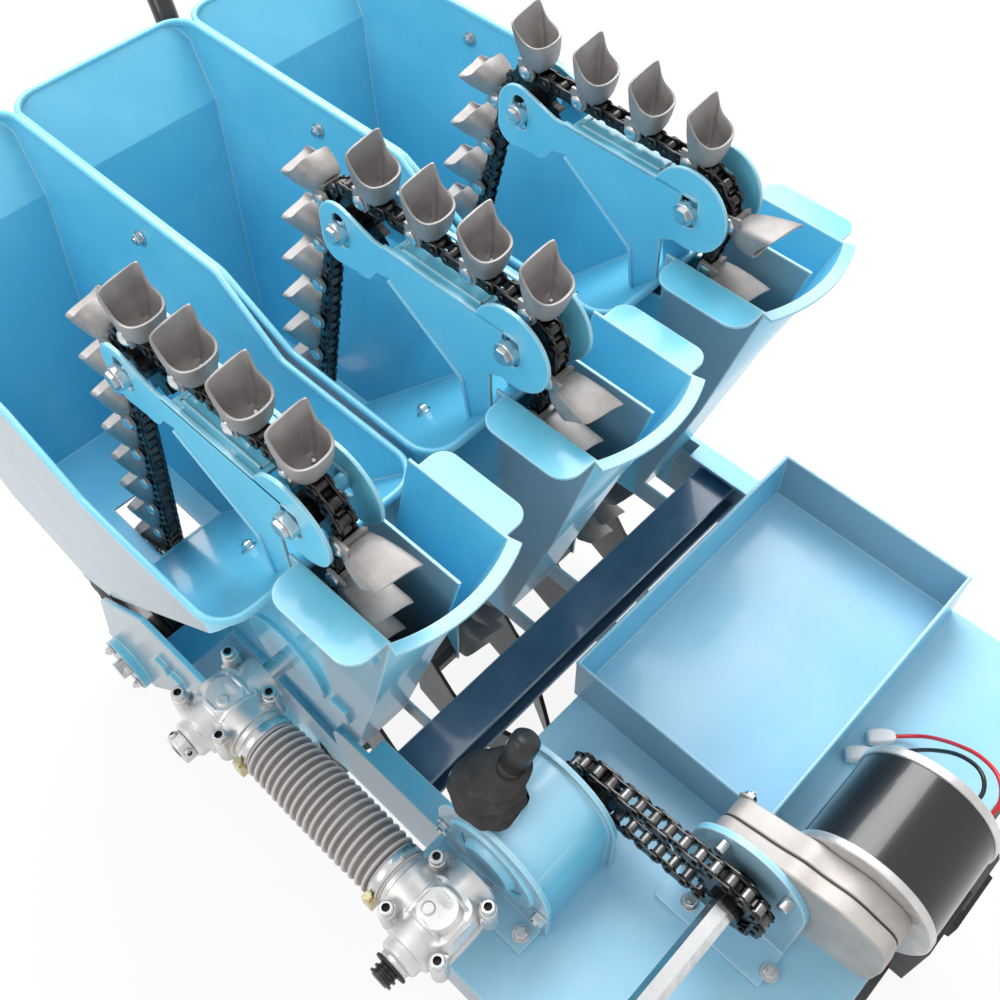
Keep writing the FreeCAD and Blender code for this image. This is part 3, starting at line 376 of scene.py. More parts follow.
def grey_plastic():
    """Ribbed hose with pale blotches; its valleys are painted dark as shade and its crests pale as
    highlights.
    """
    f = Finish("grey_plastic", "grey_plastic")
    n = f.noise(60.0, 4.0)
    pointed = f.node("ShaderNodeNewGeometry", {}, {}, "Pointiness")
    # painted shade and painted highlight: rib valleys dark, crests pale, by how pointed the surface is
    lit_crest = f.step(pointed, 0.50, 0.56)
    tone = f.mix(lit_crest, (0.230, 0.205, 0.200), (0.60, 0.565, 0.55))
    tone = f.mix(f.step(n, 0.5, 0.75) * 0.3, tone, (0.52, 0.50, 0.49))
    return f.done({}, color=tone, rough=0.36 + 0.18 * n, normal=f.bump(n, 0.0002, 0.4))


def tyre_rubber():
    """Tyre rubber with dust in its grain."""
    f = Finish("tyre", "tyre")
    dust = f.noise(40.0, 5.0, 0.7)
    tone = f.mix(f.step(dust, 0.45, 0.8), (0.008, 0.008, 0.009), (0.04, 0.037, 0.034))
    return f.done({}, color=tone, rough=0.50 + 0.2 * dust, normal=f.bump(f.noise(300.0, 3.0), 0.0003, 0.5))


def cable(name, slot, dark, pale):
    """Sheath of a motor lead."""
    f = Finish(name, slot)
    n = f.noise(120.0, 3.0)
    return f.done({}, color=f.mix(n, dark, pale), rough=0.26 + 0.15 * n)


def white_plastic():
    """White plastic of the leads' plugs."""
    f = Finish("white_plastic", "white_plastic")
    n = f.noise(90.0, 3.0)
    return f.done({}, color=f.mix(n, (0.72, 0.74, 0.75), (0.86, 0.87, 0.87)), rough=0.25 + 0.12 * n)


def brass():
    """Yellow zinc of the clamp blocks on the hose bands."""
    f = Finish("yellow_zinc", "zinc_steel")
    n = f.noise(80.0, 3.0)
    return f.done({}, color=f.mix(n, (0.62, 0.52, 0.30), (0.74, 0.66, 0.45)), metal=1.0, rough=0.25 + 0.2 * n)


BLUE, CUP, ALLOY, STEEL, ZINC = blue_paint(), cast_grey(), cast_alloy(), black_steel(), zinc()
SEAL, RUBBER, BLACK_PLASTIC, BLACK, DARK = gasket(), rubber(), black_plastic(), black_paint(), dark_steel()
ENAMEL, HOSE, TYRE, WHITE, BRASS = motor_paint(), grey_plastic(), tyre_rubber(), white_plastic(), brass()
WORN, CASE, SLATE = worn_steel(), brown_cast(), slate_paint()
RED_LEAD = cable("red_cable", "red_cable", (0.50, 0.012, 0.020), (0.66, 0.03, 0.035))
BLACK_LEAD = cable("black_cable", "black_cable", (0.008, 0.008, 0.009), (0.02, 0.02, 0.02))


# ------------------------------------------------------------------ shapes
class Shape:
    """A piece being made, in millimetres; each face keeps its finish."""

    def __init__(self):
        self.points, self.faces, self.marks, self.finishes = [], [], [], []

    def add(self, points, faces, finish, turn=None):
        """Points and faces, laid in place by turn."""
        if finish not in self.finishes:
            self.finishes.append(finish)
        n = len(self.points)
        self.points.extend(turn @ Vector(p) if turn else Vector(p) for p in points)
        self.faces.extend([n + i for i in f] for f in faces)
        self.marks.extend([self.finishes.index(finish)] * len(faces))
        return self

    def loft(self, rings, finish, turn=None, ends=(True, True)):
        """Rings of equal counts joined one to the next."""
        k = len(rings[0])
        faces = [[a * k + i, a * k + (i + 1) % k, (a + 1) * k + (i + 1) % k, (a + 1) * k + i]
                 for a in range(len(rings) - 1) for i in range(k)]
        if ends[0]:
            faces.append(list(reversed(range(k))))
        if ends[1]:
            faces.append([(len(rings) - 1) * k + i for i in range(k)])
        return self.add([p for r in rings for p in r], faces, finish, turn)

    def turned(self, p, q, profile, finish, n=32, ends=(True, True)):
        """A profile of (distance along p to q, radius) turned round that line."""
        turn = along(p, q)
        rings = [[(r * math.cos(2 * math.pi * i / n), r * math.sin(2 * math.pi * i / n), h)
                  for i in range(n)] for h, r in profile]
        return self.loft(rings, finish, turn, ends)

    def rod(self, p, q, r, finish, n=24, chamfer=0.0):
        """Round bar from p to q."""
        h = (Vector(q) - Vector(p)).length
        c = min(chamfer, r * 0.5, h * 0.5)
        profile = [(0, r - c), (c, r), (h - c, r), (h, r - c)] if c else [(0, r), (h, r)]
        return self.turned(p, q, profile, finish, n)

    def prism(self, outline, x0, x1, finish, chamfer=0.0):
        """A (y, z) outline drawn out along X, its edges chamfered by shrinking it to its middle."""
        if not chamfer:
            return self.loft([[(x, y, z) for y, z in outline] for x in (x0, x1)], finish)
        small = inset(outline, chamfer)
        d = math.copysign(chamfer, x1 - x0)
        return self.loft([[(x, y, z) for y, z in o] for x, o in
                          ((x0, small), (x0 + d, outline), (x1 - d, outline), (x1, small))], finish)

    def block(self, lo, hi, finish):
        (x0, y0, z0), (x1, y1, z1) = lo, hi
        return self.loft([[(x0, y0, z), (x1, y0, z), (x1, y1, z), (x0, y1, z)] for z in (z0, z1)], finish)

    def piece(self, name, body="frame", replaces=(), bevel=0.0, smooth=38.0):
        """Makes the object; smooth is the angle under which faces shade as one."""
        mesh = bpy.data.meshes.new(name)
        mesh.from_pydata([place(p) for p in self.points], [], self.faces)
        for f in self.finishes:
            mesh.materials.append(f.material)
        mesh.polygons.foreach_set("material_index", self.marks)
        mesh.polygons.foreach_set("use_smooth", [True] * len(mesh.polygons))
        mesh.set_sharp_from_angle(angle=math.radians(smooth))
        obj = bpy.data.objects.new(name, mesh)
        bpy.context.collection.objects.link(obj)
        if bevel:
            m = obj.modifiers.new("rounded", "BEVEL")
            m.width, m.segments, m.limit_method = bevel / 1000, 2, "ANGLE"
            m.angle_limit = math.radians(40)
        if replaces:
            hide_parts(*replaces)
        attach(obj, body)
        return obj


def along(p, q):
    """The turn that lays +Z along p to q, starting at p."""
    p, q = Vector(p), Vector(q)
    return Matrix.Translation(p) @ (q - p).to_track_quat("Z", "Y").to_matrix().to_4x4()


def inset(outline, d):
    """An outline of flat points moved inwards by d."""
    n = len(outline)
    out = []
    area = sum(outline[i][0] * outline[(i + 1) % n][1] - outline[(i + 1) % n][0] * outline[i][1]
               for i in range(n))
    s = 1 if area > 0 else -1
    for i in range(n):
        a, b, c = (Vector(outline[(i + k) % n]) for k in (-1, 0, 1))
        u, w = (b - a).normalized(), (c - b).normalized()
        m = Vector((-(u.y + w.y), u.x + w.x)) * s
        m = m.normalized() if m.length > 1e-6 else Vector((0, 0))
        k = max(0.4, m.dot(Vector((-u.y, u.x)) * s))
        out.append(tuple(b + m * d / k))
    return out


def squarish(x, y, z, a, b, power, n):
    """Ring of n points between an ellipse and a rectangle; a and b are its half sizes."""
    ring = []
    for k in range(n):
        t = 2 * math.pi * (k + 0.5) / n
        c, d = math.cos(t), math.sin(t)
        ring.append((x + math.copysign(abs(c) ** power, c) * a, y + math.copysign(abs(d) ** power, d) * b, z))
    return ring


def runs_of(circles):
    """The straight runs of a belt round circles (y, z, r)."""
    runs = []
    for i in range(len(circles)):
        (y0, z0, r0), (y1, z1, r1) = circles[i], circles[(i + 1) % len(circles)]
        a = math.atan2(z1 - z0, y1 - y0)
        b = math.asin((r0 - r1) / math.hypot(y1 - y0, z1 - z0)) - math.pi / 2
        c, s = math.cos(a + b), math.sin(a + b)
        runs.append(((y0 + r0 * c, z0 + r0 * s), (y1 + r1 * c, z1 + r1 * s)))
    return runs


def belt_spots(circles, count, start=0.0):
    """count points evenly along a belt, each (y, z, outward angle), and the belt's length."""
    runs, legs = runs_of(circles), []
    for i, (a, b) in enumerate(runs):
        legs.append((a, b, None, math.dist(a, b)))
        y, z, r = circles[(i + 1) % len(circles)]
        c = runs[(i + 1) % len(runs)][0]
        a0, a1 = math.atan2(b[1] - z, b[0] - y), math.atan2(c[1] - z, c[0] - y)
        while a1 < a0:
            a1 += 2 * math.pi
        legs.append((a0, a1, (y, z, r), r * (a1 - a0)))
    total = sum(leg[3] for leg in legs)
    out = []
    for k in range(count):
        s = (start + k * total / count) % total
        for a, b, arc, length in legs:
            if s <= length:
                if arc is None:
                    t = s / length
                    turn = math.atan2(b[1] - a[1], b[0] - a[0]) - math.pi / 2
                    out.append((a[0] + t * (b[0] - a[0]), a[1] + t * (b[1] - a[1]), turn))
                else:
                    turn = a + s / arc[2]
                    out.append((arc[0] + arc[2] * math.cos(turn), arc[1] + arc[2] * math.sin(turn), turn))
                break
            s -= length
    return out, total


def smooth_loop(points, n):
    """n points on a closed smooth curve through points."""
    k, out = len(points), []
    for i in range(n):
        t = i * k / n
        j, u = int(t), t - int(t)
        p0, p1, p2, p3 = (Vector(points[(j + d) % k]) for d in (-1, 0, 1, 2))
        out.append(0.5 * (2 * p1 + (p2 - p0) * u + (2 * p0 - 5 * p1 + 4 * p2 - p3) * u * u
                          + (3 * p1 - p0 - 3 * p2 + p3) * u ** 3))
    return out


# ------------------------------------------------------------------ fasteners
def hex_bolt(s, p, axis, r, h, washer=True):
    """Hex head with its washer, standing on p and pointing along axis."""
    p, axis = Vector(p), Vector(axis).normalized()
    if washer:
        s.rod(p, p + axis * 1.4, r * 1.35, ZINC, 20, 0.3)
        p = p + axis * 1.4
    s.turned(p, p + axis, [(0, r), (h - 0.8, r), (h, r * 0.84)], ZINC, 6)
    s.turned(p + axis * h, p + axis * (h + 1), [(0, r * 0.5), (1.6, r * 0.46)], ZINC, 12)


def socket_screw(s, p, axis, r, h):
    """Cap screw with its dark socket."""
    p, axis = Vector(p), Vector(axis).normalized()
    s.turned(p, p + axis, [(0, r), (h - 0.7, r), (h, r - 0.7), (h, r * 0.56)], ZINC, 18, (True, False))
    # painted shade: the socket's walls and floor take the black gasket finish for the shade in the recess
    s.turned(p + axis * h, p + axis * (h + 1), [(0, r * 0.56), (-3.2, r * 0.52)], SEAL, 6, (False, True))


# ------------------------------------------------------------------ chains and cups
def link_plate(s, y0, z0, y1, z1, xa, xb, r):
    """Waisted side plate between two pins, its outer face (xb) chamfered."""
    a = math.atan2(z1 - z0, y1 - y0)
    half = math.hypot(y1 - y0, z1 - z0) / 2
    outline = []
    for side in (0, 1):
        for k in range(7):
            t = math.radians(-68 + 136 * k / 6)
            u, v = half + r * math.cos(t), r * math.sin(t)
            outline.append((u, v) if side == 0 else (-u, -v))
        outline.append((0, r * 0.76) if side == 0 else (0, -r * 0.76))
    small = inset(outline, 0.5)
    my, mz = (y0 + y1) / 2, (z0 + z1) / 2
    c, d = math.cos(a), math.sin(a)

    def lay(o, x):
        return [(x, my + u * c - v * d, mz + u * d + v * c) for u, v in o]
    e = math.copysign(0.5, xb - xa)
    s.loft([lay(outline, xa), lay(outline, xb - e), lay(small, xb)], STEEL)


def roller_chain(s, x, circles, count, start, bright):
    """Roller chain on a belt line; bright is the finish of its rollers.  Gives its pins back."""
    spots, _ = belt_spots(circles, count, start)
    for k, (y, z, _) in enumerate(spots):
        y1, z1, _ = spots[(k + 1) % count]
        near, far, r = INNER_LINK if k % 2 else OUTER_LINK
        for side in (-1, 1):
            link_plate(s, y, z, y1, z1, x + side * near, x + side * far, r)
            s.rod((x + side * OUTER_LINK[1], y, z), (x + side * PIN_END, y, z), PIN_R, STEEL, 8, 0.5)
        s.rod((x - INNER_LINK[0], y, z), (x + INNER_LINK[0], y, z), ROLLER_R, bright, 12)
    return spots


def toothed_wheel(s, x, y, z, teeth, pitch_r, start, hub):
    """Sprocket whose tooth gaps stand at start."""
    outline = []
    for k in range(teeth):
        for d, rise in TOOTH:
            t = start + (k + d) * 2 * math.pi / teeth
            outline.append((y + (pitch_r + rise) * math.cos(t), z + (pitch_r + rise) * math.sin(t)))
    s.prism(outline, x - 3.2, x + 3.2, STEEL, 0.5)
    s.rod((x - 10, y, z), (x + 10, y, z), hub, STEEL, 24, 0.8)


def nearest_turn(spots, y, z, r):
    """The angle round (y, z) of a chain pin that lies on that wheel."""
    py, pz, _ = min(spots, key=lambda p: abs(math.hypot(p[0] - y, p[1] - z) - r)
                    + (0 if math.hypot(p[0] - y, p[1] - z) < r + 0.5 else 50))
    return math.atan2(pz - z, py - y)


CUP_RIM = [(-15.6, -2.2, 42.0), (-13.0, -0.6, 43.6), (-6.0, 0.2, 45.0), (2.0, 0.4, 46.0), (9.0, 0.0, 47.0),
           (13.5, -1.0, 48.0), (15.2, -2.4, 48.0), (15.4, -4.4, 44.5), (14.9, -7.0, 39.0),
           (15.2, -10.0, 34.6), (16.2, -13.5, 31.4), (16.0, -18.5, 28.6), (11.8, -23.6, 26.6),
           (2.7, -25.8, 25.8), (-6.4, -25.4, 26.0), (-13.4, -21.5, 27.0), (-16.2, -14.5, 30.0),
           (-16.4, -8.5, 35.0), (-16.2, -5.0, 39.0)]


def cup_shape():
    """Points, faces and finish of one cup: +Z outward, the chain runs along -Y."""
    s = Shape()
    n = 48
    rim = smooth_loop(CUP_RIM, n)
    mid = Vector((0, -12.5, 0))

    def ring(t, wide, rise, shrink=0.0):
        out = []
        for p in rim:
            d = Vector((p.x, p.y, 0)) - mid
            q = mid + d * wide
            if shrink:
                q = q - d.normalized() * shrink
            out.append((q.x, q.y, rise + (p.z - rise) * t))
        return out
    low = 6.4
    outer = [ring(0.0, 0.52, low), ring(0.10, 0.68, low), ring(0.28, 0.80, low), ring(0.60, 0.92, low),
             ring(0.93, 0.992, low), ring(1.0, 1.0, low, 0.3)]
    inner = [ring(1.0, 1.0, low, 1.8), ring(0.95, 0.985, low, 2.2), ring(0.62, 0.91, low, 2.2),
             ring(0.33, 0.79, low, 2.2), ring(0.17, 0.58, low, 2.2), ring(0.12, 0.25, low, 1.4)]
    s.loft(outer + inner, CUP)
    s.loft([[(-8, -16, 5.2), (8, -16, 5.2), (8, -2, 5.2), (-8, -2, 5.2)],
            [(-9.5, -17, 8.6), (9.5, -17, 8.6), (9.5, -1, 8.6), (-9.5, -1, 8.6)]], CUP)
    # two pips on the floor
    for x, y in ((-4, -18), (5, -11)):
        s.turned((x, y, 9.0), (x, y, 12.0), [(0, 2.6), (2.6, 2.2), (3.6, 0.8)], ZINC, 12)
    # the ear and its cross screw on the chain's left side
    s.loft([[(x, y, z) for y, z in ((-12, 14), (-12, 2), (-9, -2), (-1, -2), (2, 2), (2, 14))]
            for x in (-10.8, -8.6)], CUP)
    s.turned((-10.8, -4.5, 4.6), (-11.8, -4.5, 4.6),
             [(0, 5.6), (1.6, 5.4), (2.8, 3.6), (3.1, 2.2), (2.2, 0.4)], ZINC, 16)
    return s


def cup_chain(row, start, number):
    """One row's elevator chain with its cups, and the wheels that it runs on."""
    s = Shape()
    _, total = belt_spots(LOOP, 1)
    cups = int(round(total / (CHAIN_P * CUP_STEP)))
    pitch = total / (cups * CUP_STEP)
    pins = roller_chain(s, row, LOOP, cups * CUP_STEP, start + pitch / 2, STEEL)
    one = cup_shape()
    for y, z, turn in belt_spots(LOOP, cups, start)[0]:
        m = Matrix.Translation((row, y, z)) @ Matrix.Rotation(turn - math.pi / 2, 4, "X")
        for f in one.finishes:
            s.add(one.points, [face for face, mark in zip(one.faces, one.marks)
                               if one.finishes[mark] is f], f, m)
    s.piece("cups_and_chain_" + number, replaces=["cup_chain_" + number])
    w = Shape()
    for y, z in (TOP, FRONT, LOW_F, LOW_R):
        toothed_wheel(w, row, y, z, SPROCKET_TEETH, SPROCKET_R, nearest_turn(pins, y, z, SPROCKET_R),
                      SPROCKET_HUB)
    w.piece("elevator_wheels_" + number)


for i, row in enumerate(ROWS):
    cup_chain(row, CUP_START[i], str(i + 1))


def side_drive():
    """The chain from the reducer to the clutch housing, and its two wheels."""
    s = Shape()
    _, total = belt_spots(SIDE_LOOP, 1)
    count = 2 * int(round(total / CHAIN_P / 2))
    pins = roller_chain(s, SIDE_CHAIN_X, SIDE_LOOP, count, 0.0, WORN)
    s.piece("side_chain_links", replaces=["side_chain"])
    w = Shape()
    for (y, z, r), teeth in zip(SIDE_LOOP, SIDE_TEETH):
        toothed_wheel(w, SIDE_CHAIN_X, y, z, teeth, r, nearest_turn(pins, y, z, r), SIDE_HUB)
    w.piece("side_wheels")


side_drive()


# ------------------------------------------------------------------ gearboxes and hose
def gear_case(name, node, y, toward, front):
    """Cast angle gearbox: crossed barrels, four screwed lugs, a nose for the hose."""
    s = Shape()
    x, z, h = GEAR_X, DRIVE[1], GEAR_S / 2
    # rounded body in two halves with a flange between
    for z0, z1, w0, w1 in ((z - 24, z - 3.2, 0.80, 1.0), (z + 3.2, z + 17, 1.0, 0.78)):
        s.loft([squarish(x, y, zz, (h - 6) * w, (h - 6) * w, 0.55, 32) for zz, w in
                ((z0, w0), ((z0 + z1) / 2, max(w0, w1) * 0.985), (z1, w1))], ALLOY)
    s.loft([squarish(x, y, zz, h - 4, h - 4, 0.5, 32) for zz in (z - 3, z + 3)], ALLOY)
    s.rod((x, y, z + 10), (x, y, z + 22), 17, ALLOY, 32, 3.0)
    s.rod((x - 4, y + toward * 4, z + 18), (x - 4, y + toward * 4, z + 23.5), 4.6, ALLOY, 20, 0.8)
    # barrels
    s.turned((x - h - 8, y, z), (x + h + 3, y, z),
             [(0, 13), (2, 15), (8, 15.5), (9, 19), (14, 20.5), (40, 20.5), (44, 22.5), (49, 22.5),
              (50, 19), (GEAR_S + 11, 19)], ALLOY, 40)
    s.turned((x, y - toward * h * 0.7, z), (x, y + toward * (h + 6), z),
             [(0, 16), (3, 19), (30, 20.5), (38, 22.5), (h * 1.7 + 1, 23), (h * 1.7 + 2, 20.5),
              (h * 1.7 + 6, 20.5)], ALLOY, 40)
    # stiffening ribs over the barrels
    for dx in (-14, 12):
        s.turned((x + dx, y, z), (x + dx + 2.4, y, z), [(0, 22), (0.4, 22.6), (2.0, 22.6), (2.4, 22)],
                 ALLOY, 40)
    s.turned((x, y + toward * 12, z), (x, y + toward * 14.6, z), [(0, 23), (2.6, 23)], ALLOY, 40)
    for a in (-1, 1):
        for b in (-1, 1):
            px, py = x + a * 23, y + b * 24
            s.turned((px, py, z - 10), (px, py, z + 19), [(0, 5.4), (2, 6.5), (24, 6.5), (29, 6.0)],
                     ALLOY, 20)
            s.loft([[(px - a * 2 - 6 * b * 0.5, py - b * 9, zz), (px - a * 9, py + b * 1, zz),
                     (px + a * 4, py + b * 4, zz)] for zz in (z - 6, z + 12)], ALLOY)
            socket_screw(s, (px, py, z + 19), (0, 0, 1), 5.2, 6.0)
    xa = x - h - 8
    if front:
        s.rod((xa, y, z), (xa - 4, y, z), 11.5, ALLOY, 28, 0.6)
        s.rod((xa - 4, y, z), (xa - 6, y, z), 13, SEAL, 28, 0.3)
        s.turned((xa - 6, y, z), (xa - 16, y, z),
                 [(0, 7.5), (3, 7.5), (3.2, 9.2), (5, 9.2), (5.2, 7.5), (7, 7.5), (7.2, 9.2), (9, 9.2),
                  (9.2, 7), (10, 6.4)], STEEL, 24)
    else:
        o = [(y + r * math.cos(t), z + r * math.sin(t)) for t, r in
             ((math.pi / 4 * k + math.pi / 8, 12.0) for k in range(8))]
        s.prism(o, xa, xa - 10, ALLOY, 1.0)
        s.turned((xa - 10, y, z), (xa - 10.2, y, z), [(0, 7.5), (0.2, 7.5)], ZINC, 24)
        s.turned((xa - 10.3, y, z), (xa - 10.4, y, z), [(0, 5.2), (0.1, 5.2)], SEAL, 24)
        for t in (0.9, 2.6, 4.4):
            c, d = math.cos(t), math.sin(t)
            socket_screw(s, (xa - 5, y + 11 * c, z + 11 * d), (0, c, d), 3.4, 2.6)
    s.piece(name, replaces=[node], bevel=0.7, smooth=45)


gear_case("case_rear", "gearbox_rear", DRIVE[0], -1, False)
gear_case("case_front", "gearbox_front", HOUSE[0], 1, True)


def ribbed_hose():
    """Ribbed cover between the two gearboxes, with a band at each end."""
    s = Shape()
    ya, yb = DRIVE[0] - GEAR_S / 2 - 6, HOUSE[0] + GEAR_S / 2 + 6
    z, ribs = DRIVE[1], 19
    length = ya - yb
    band = 11.0
    profile = [(0, 21.2), (band, 21.6)]
    step = (length - 2 * band) / ribs
    for k in range(ribs):
        h = band + k * step
        swell = 0.9 * math.sin(math.pi * (k + 0.5) / ribs)
        for u, r in ((0.08, 20.6), (0.22, 22.4), (0.36, 24.2), (0.48, 24.6), (0.60, 24.2), (0.76, 22.4),
                     (0.92, 20.6)):
            profile.append((h + u * step, r - 0.9 + swell))
    profile += [(length - band, 21.6), (length, 21.2)]
    s.turned((GEAR_X, yb, z), (GEAR_X, ya, z), profile, HOSE, 48)
    s.piece("ribbed_hose", replaces=["hose"], smooth=80)
    c = Shape()
    for y0, y1 in ((yb + 1.5, yb + 9.5), (ya - 9.5, ya - 1.5)):
        c.turned((GEAR_X, y0, z), (GEAR_X, y1, z), [(0, 21.4), (0, 22.6), (0.6, 23.0), (7.4, 23.0), (8, 22.6),
                                                    (8, 21.4)], ZINC, 48, (False, False))
        m = (y0 + y1) / 2
        c.block((GEAR_X - 27.5, m - 4.5, z - 9), (GEAR_X - 20.5, m + 4.5, z + 5), BRASS)
        c.rod((GEAR_X - 24.5, m, z + 5), (GEAR_X - 24.5, m, z + 11), 3.4, BRASS, 6)
    c.piece("hose_bands", bevel=0.4)


ribbed_hose()


# ------------------------------------------------------------------ clutch and lever
def clutch_details():
    """Pressed rings on the outer end plate, and the housing's bolts."""
    s = Shape()
    x, (y, z) = HOUSE_FACE_X, HOUSE
    s.turned((x, y, z), (x - 1, y, z), [(0, 40), (2.2, 38.5), (2.2, 30), (0.4, 28)], BLUE, 56, (False, False))
    s.turned((x, y, z), (x - 1, y, z), [(0, 24), (4, 22), (6, 20), (6, 10)], BLUE, 40)
    s.piece("end_plate_rings", bevel=0.5)
    b = Shape()
    for dy, dz in HOUSE_BOLTS:
        hex_bolt(b, (x, y + dy, z + dz), (-1, 0, 0), 5.5, 4.5)
    for px, py in HOUSE_FEET:
        hex_bolt(b, (px, py, FOOT_TOP), (0, 0, 1), 5.0, 4.0)
    for px, py in LEVER_SCREWS:
        b.turned((px, py, BOOT_Z + 3), (px, py, BOOT_Z + 5),
                 [(0, 4.2), (1.2, 3.9), (2.2, 2.4), (2.4, 0.5)], ZINC, 16)
    b.piece("clutch_bolts")


clutch_details()


def boot():
    """Folded rubber boot; the lever comes out of it to the right."""
    s = Shape()
    lean = Vector(LEVER_LEAN).normalized()
    foot = Vector((LEVER_X, LEVER_Y, BOOT_Z - 4))
    rings, n, m = [], 84, 66
    for a in range(m + 1):
        t = a / m
        mid = foot + lean * (7.0 + 31.0 * t) + Vector((-9.5, 5.0, 2.0)) * math.sin(math.pi * t)
        r = 23.0 + 3.4 * math.sin(math.pi * t * 0.8) - 11.0 * t ** 2.2
        ring = []
        for k in range(n):
            w = 2 * math.pi * k / n
            swirl = math.sin(7.4 * math.pi * t + 2.1 * math.sin(w - 0.6) + 1.1 * math.sin(2 * w))
            fold = abs(math.sin(2.5 * w + 4.0 * t + 1.2 * math.sin(3.0 * t + w)))
            crease = noise.noise(Vector((math.cos(w) * 1.7, math.sin(w) * 1.7, t * 2.6)))
            rr = r + (1.9 * swirl + 3.0 * crease - 2.2 * fold) * math.sin(math.pi * min(1.0, t + 0.08)) ** 0.6
            tilt = 3.6 * math.sin(w - 0.8) * math.sin(math.pi * t)
            ring.append((mid.x + rr * math.cos(w), mid.y + rr * math.sin(w),
                         max(BOOT_Z + 3.2, mid.z + tilt)))
        rings.append(ring)
    s.loft(rings, RUBBER)
    s.piece("folded_boot", replaces=["lever_boot"], smooth=180)
    k = Shape()
    p = foot + lean * 34
    k.turned(p, p + lean, [(0, 9.4), (3, 9.8), (5, 9.0), (6, 9.8), (9, 9.0), (10, 9.8), (26, 10.4), (30, 9.8),
                           (32.4, 7.4), (33, 3)], BLACK_PLASTIC, 40)
    k.piece("lever_grip", replaces=["lever"], smooth=60)


boot()


# ------------------------------------------------------------------ motor and reducer
def motor_set():
    """Motor can with its end rings, and the two halves of the reducer."""
    s = Shape()
    x0, x1 = MOTOR_X0, MOTOR_X0 + MOTOR_L
    y, z = MOTOR
    s.turned((x0, y, z), (x1, y, z), [(6.2, MOTOR_R - 3), (6.2, MOTOR_R), (MOTOR_L - 7.2, MOTOR_R),
                                      (MOTOR_L - 7.2, MOTOR_R - 3)], ENAMEL, 96)
    rim = MOTOR_R + 1.5
    s.turned((x0, y, z), (x1, y, z), [(0, 20), (0, rim - 1), (1, rim), (5.4, rim), (6, rim - 0.6), (6, 46)],
             ALLOY, 96)
    s.turned((x0, y, z), (x1, y, z), [(MOTOR_L - 7, 46), (MOTOR_L - 7, rim - 0.6), (MOTOR_L - 6.4, rim),
                                      (MOTOR_L - 1, rim), (MOTOR_L, rim - 1), (MOTOR_L, 18)], ALLOY, 96)
    s.piece("motor_can", replaces=["motor"], smooth=30)
    g = Shape()
    g.prism(reducer_outline(0.0), REDUCER_X0, SEAM_X0, CASE, 1.0)
    g.prism(reducer_outline(0.8), SEAM_X1, x0, CASE, 1.0)
    g.piece("reducer_case", replaces=["reducer"], bevel=0.4, smooth=40)
    e = Shape()
    e.prism(reducer_outline(0.4), SEAM_X0, SEAM_X1, SEAL)
    for by, bz in LUGS:
        e.rod((x0 - 0.5, by, bz), (x0 + 1.2, by, bz), 7.0, CASE, 20, 0.4)
        hex_bolt(e, (x0 + 1, by, bz), (1, 0, 0), 4.8, 4.5, False)
    e.piece("reducer_screws")


def reducer_outline(less):
    """The outline round the output shaft and the motor, which swells at its screw lugs."""
    outline = []
    for y, z, turn in belt_spots([OUT + (35 - less,), MOTOR + (37 - less,)], 120)[0]:
        near = max(math.exp(-((y - by) ** 2 + (z - bz) ** 2) / LUG_SPREAD) for by, bz in LUGS)
        outline.append((y + LUG_RISE * near * math.cos(turn), z + LUG_RISE * near * math.sin(turn)))
    return outline


motor_set()


def leads():
    """Motor leads and their plugs; each route is its curve's own control points."""
    end = MOTOR_X0 + MOTOR_L
    routes = {
        "red": [(end, -548, 422), (32, -548, 422), (46, -555, 436), (61, -544, 446), (74, -525, 432),
                (85, -508, 405), (94, -496, 380), (99, -487, 362), (95, -478, 354.5), (87.5, -470.5, 354.5)],
        "black": [(end, -536, 432), (31, -536, 432), (44, -542, 442), (57, -532, 446), (66, -514, 430),
                  (72, -499, 402), (76, -489, 378), (76, -481, 362), (71, -473, 354.5), (64, -466, 354.5)],
    }
    for name, finish, length in (("red", RED_LEAD, 0.1845), ("black", BLACK_LEAD, 0.1673)):
        curve = bpy.data.curves.new("lead_" + name, "CURVE")
        curve.dimensions = "3D"
        curve.bevel_depth = WIRE_R / 1000
        curve.bevel_resolution = 4
        curve.resolution_u = 10
        spline = curve.splines.new("NURBS")
        spline.points.add(len(routes[name]) - 1)
        for point, p in zip(spline.points, routes[name]):
            point.co = (*place(p), 1.0)
        spline.order_u = 3
        spline.use_endpoint_u = True
        curve.materials.append(finish.material)
        lead = bpy.data.objects.new("lead_" + name, curve)
        bpy.context.collection.objects.link(lead)
        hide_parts("wire_" + name)
        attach(lead, "frame")
        a, b = Vector(routes[name][-2]), Vector(routes[name][-1])
        d = (b - a).normalized()
        s = Shape()
        s.loft([squarish(0, 0, h, w, t, 0.4, 24) for h, w, t in
                ((0, 3.2, 2.6), (2, 4.4, 3.4), (7, 5.6, 4.6), (9, 5.8, 5.2), (18, 5.8, 5.2), (21, 5.2, 4.6),
                 (22, 4.4, 4.0))], WHITE, along(b, b + d))
        plug = s.piece("plug_body_" + name, replaces=["plug_" + name], smooth=50)


leads()


# ------------------------------------------------------------------ hopper and tray rims
def hem(s, path, w, h, finish):
    """A rounded rim along a closed path, w wide and h high."""
    n, rings = len(path), []
    for i, p in enumerate(path):
        t = (Vector(path[(i + 1) % n]) - Vector(path[i - 1])).normalized()
        out = t.cross(Vector((0, 0, 1))).normalized()
        up = out.cross(t)
        rings.append([tuple(Vector(p) + out * (w / 2 * a) + up * (h / 2 * b)) for a, b in
                      ((-1, -1), (-1, 0.4), (-0.6, 0.9), (0, 1), (0.6, 0.9), (1, 0.4), (1, -1))])
    s.loft(rings + rings[:1], finish, None, (False, False))


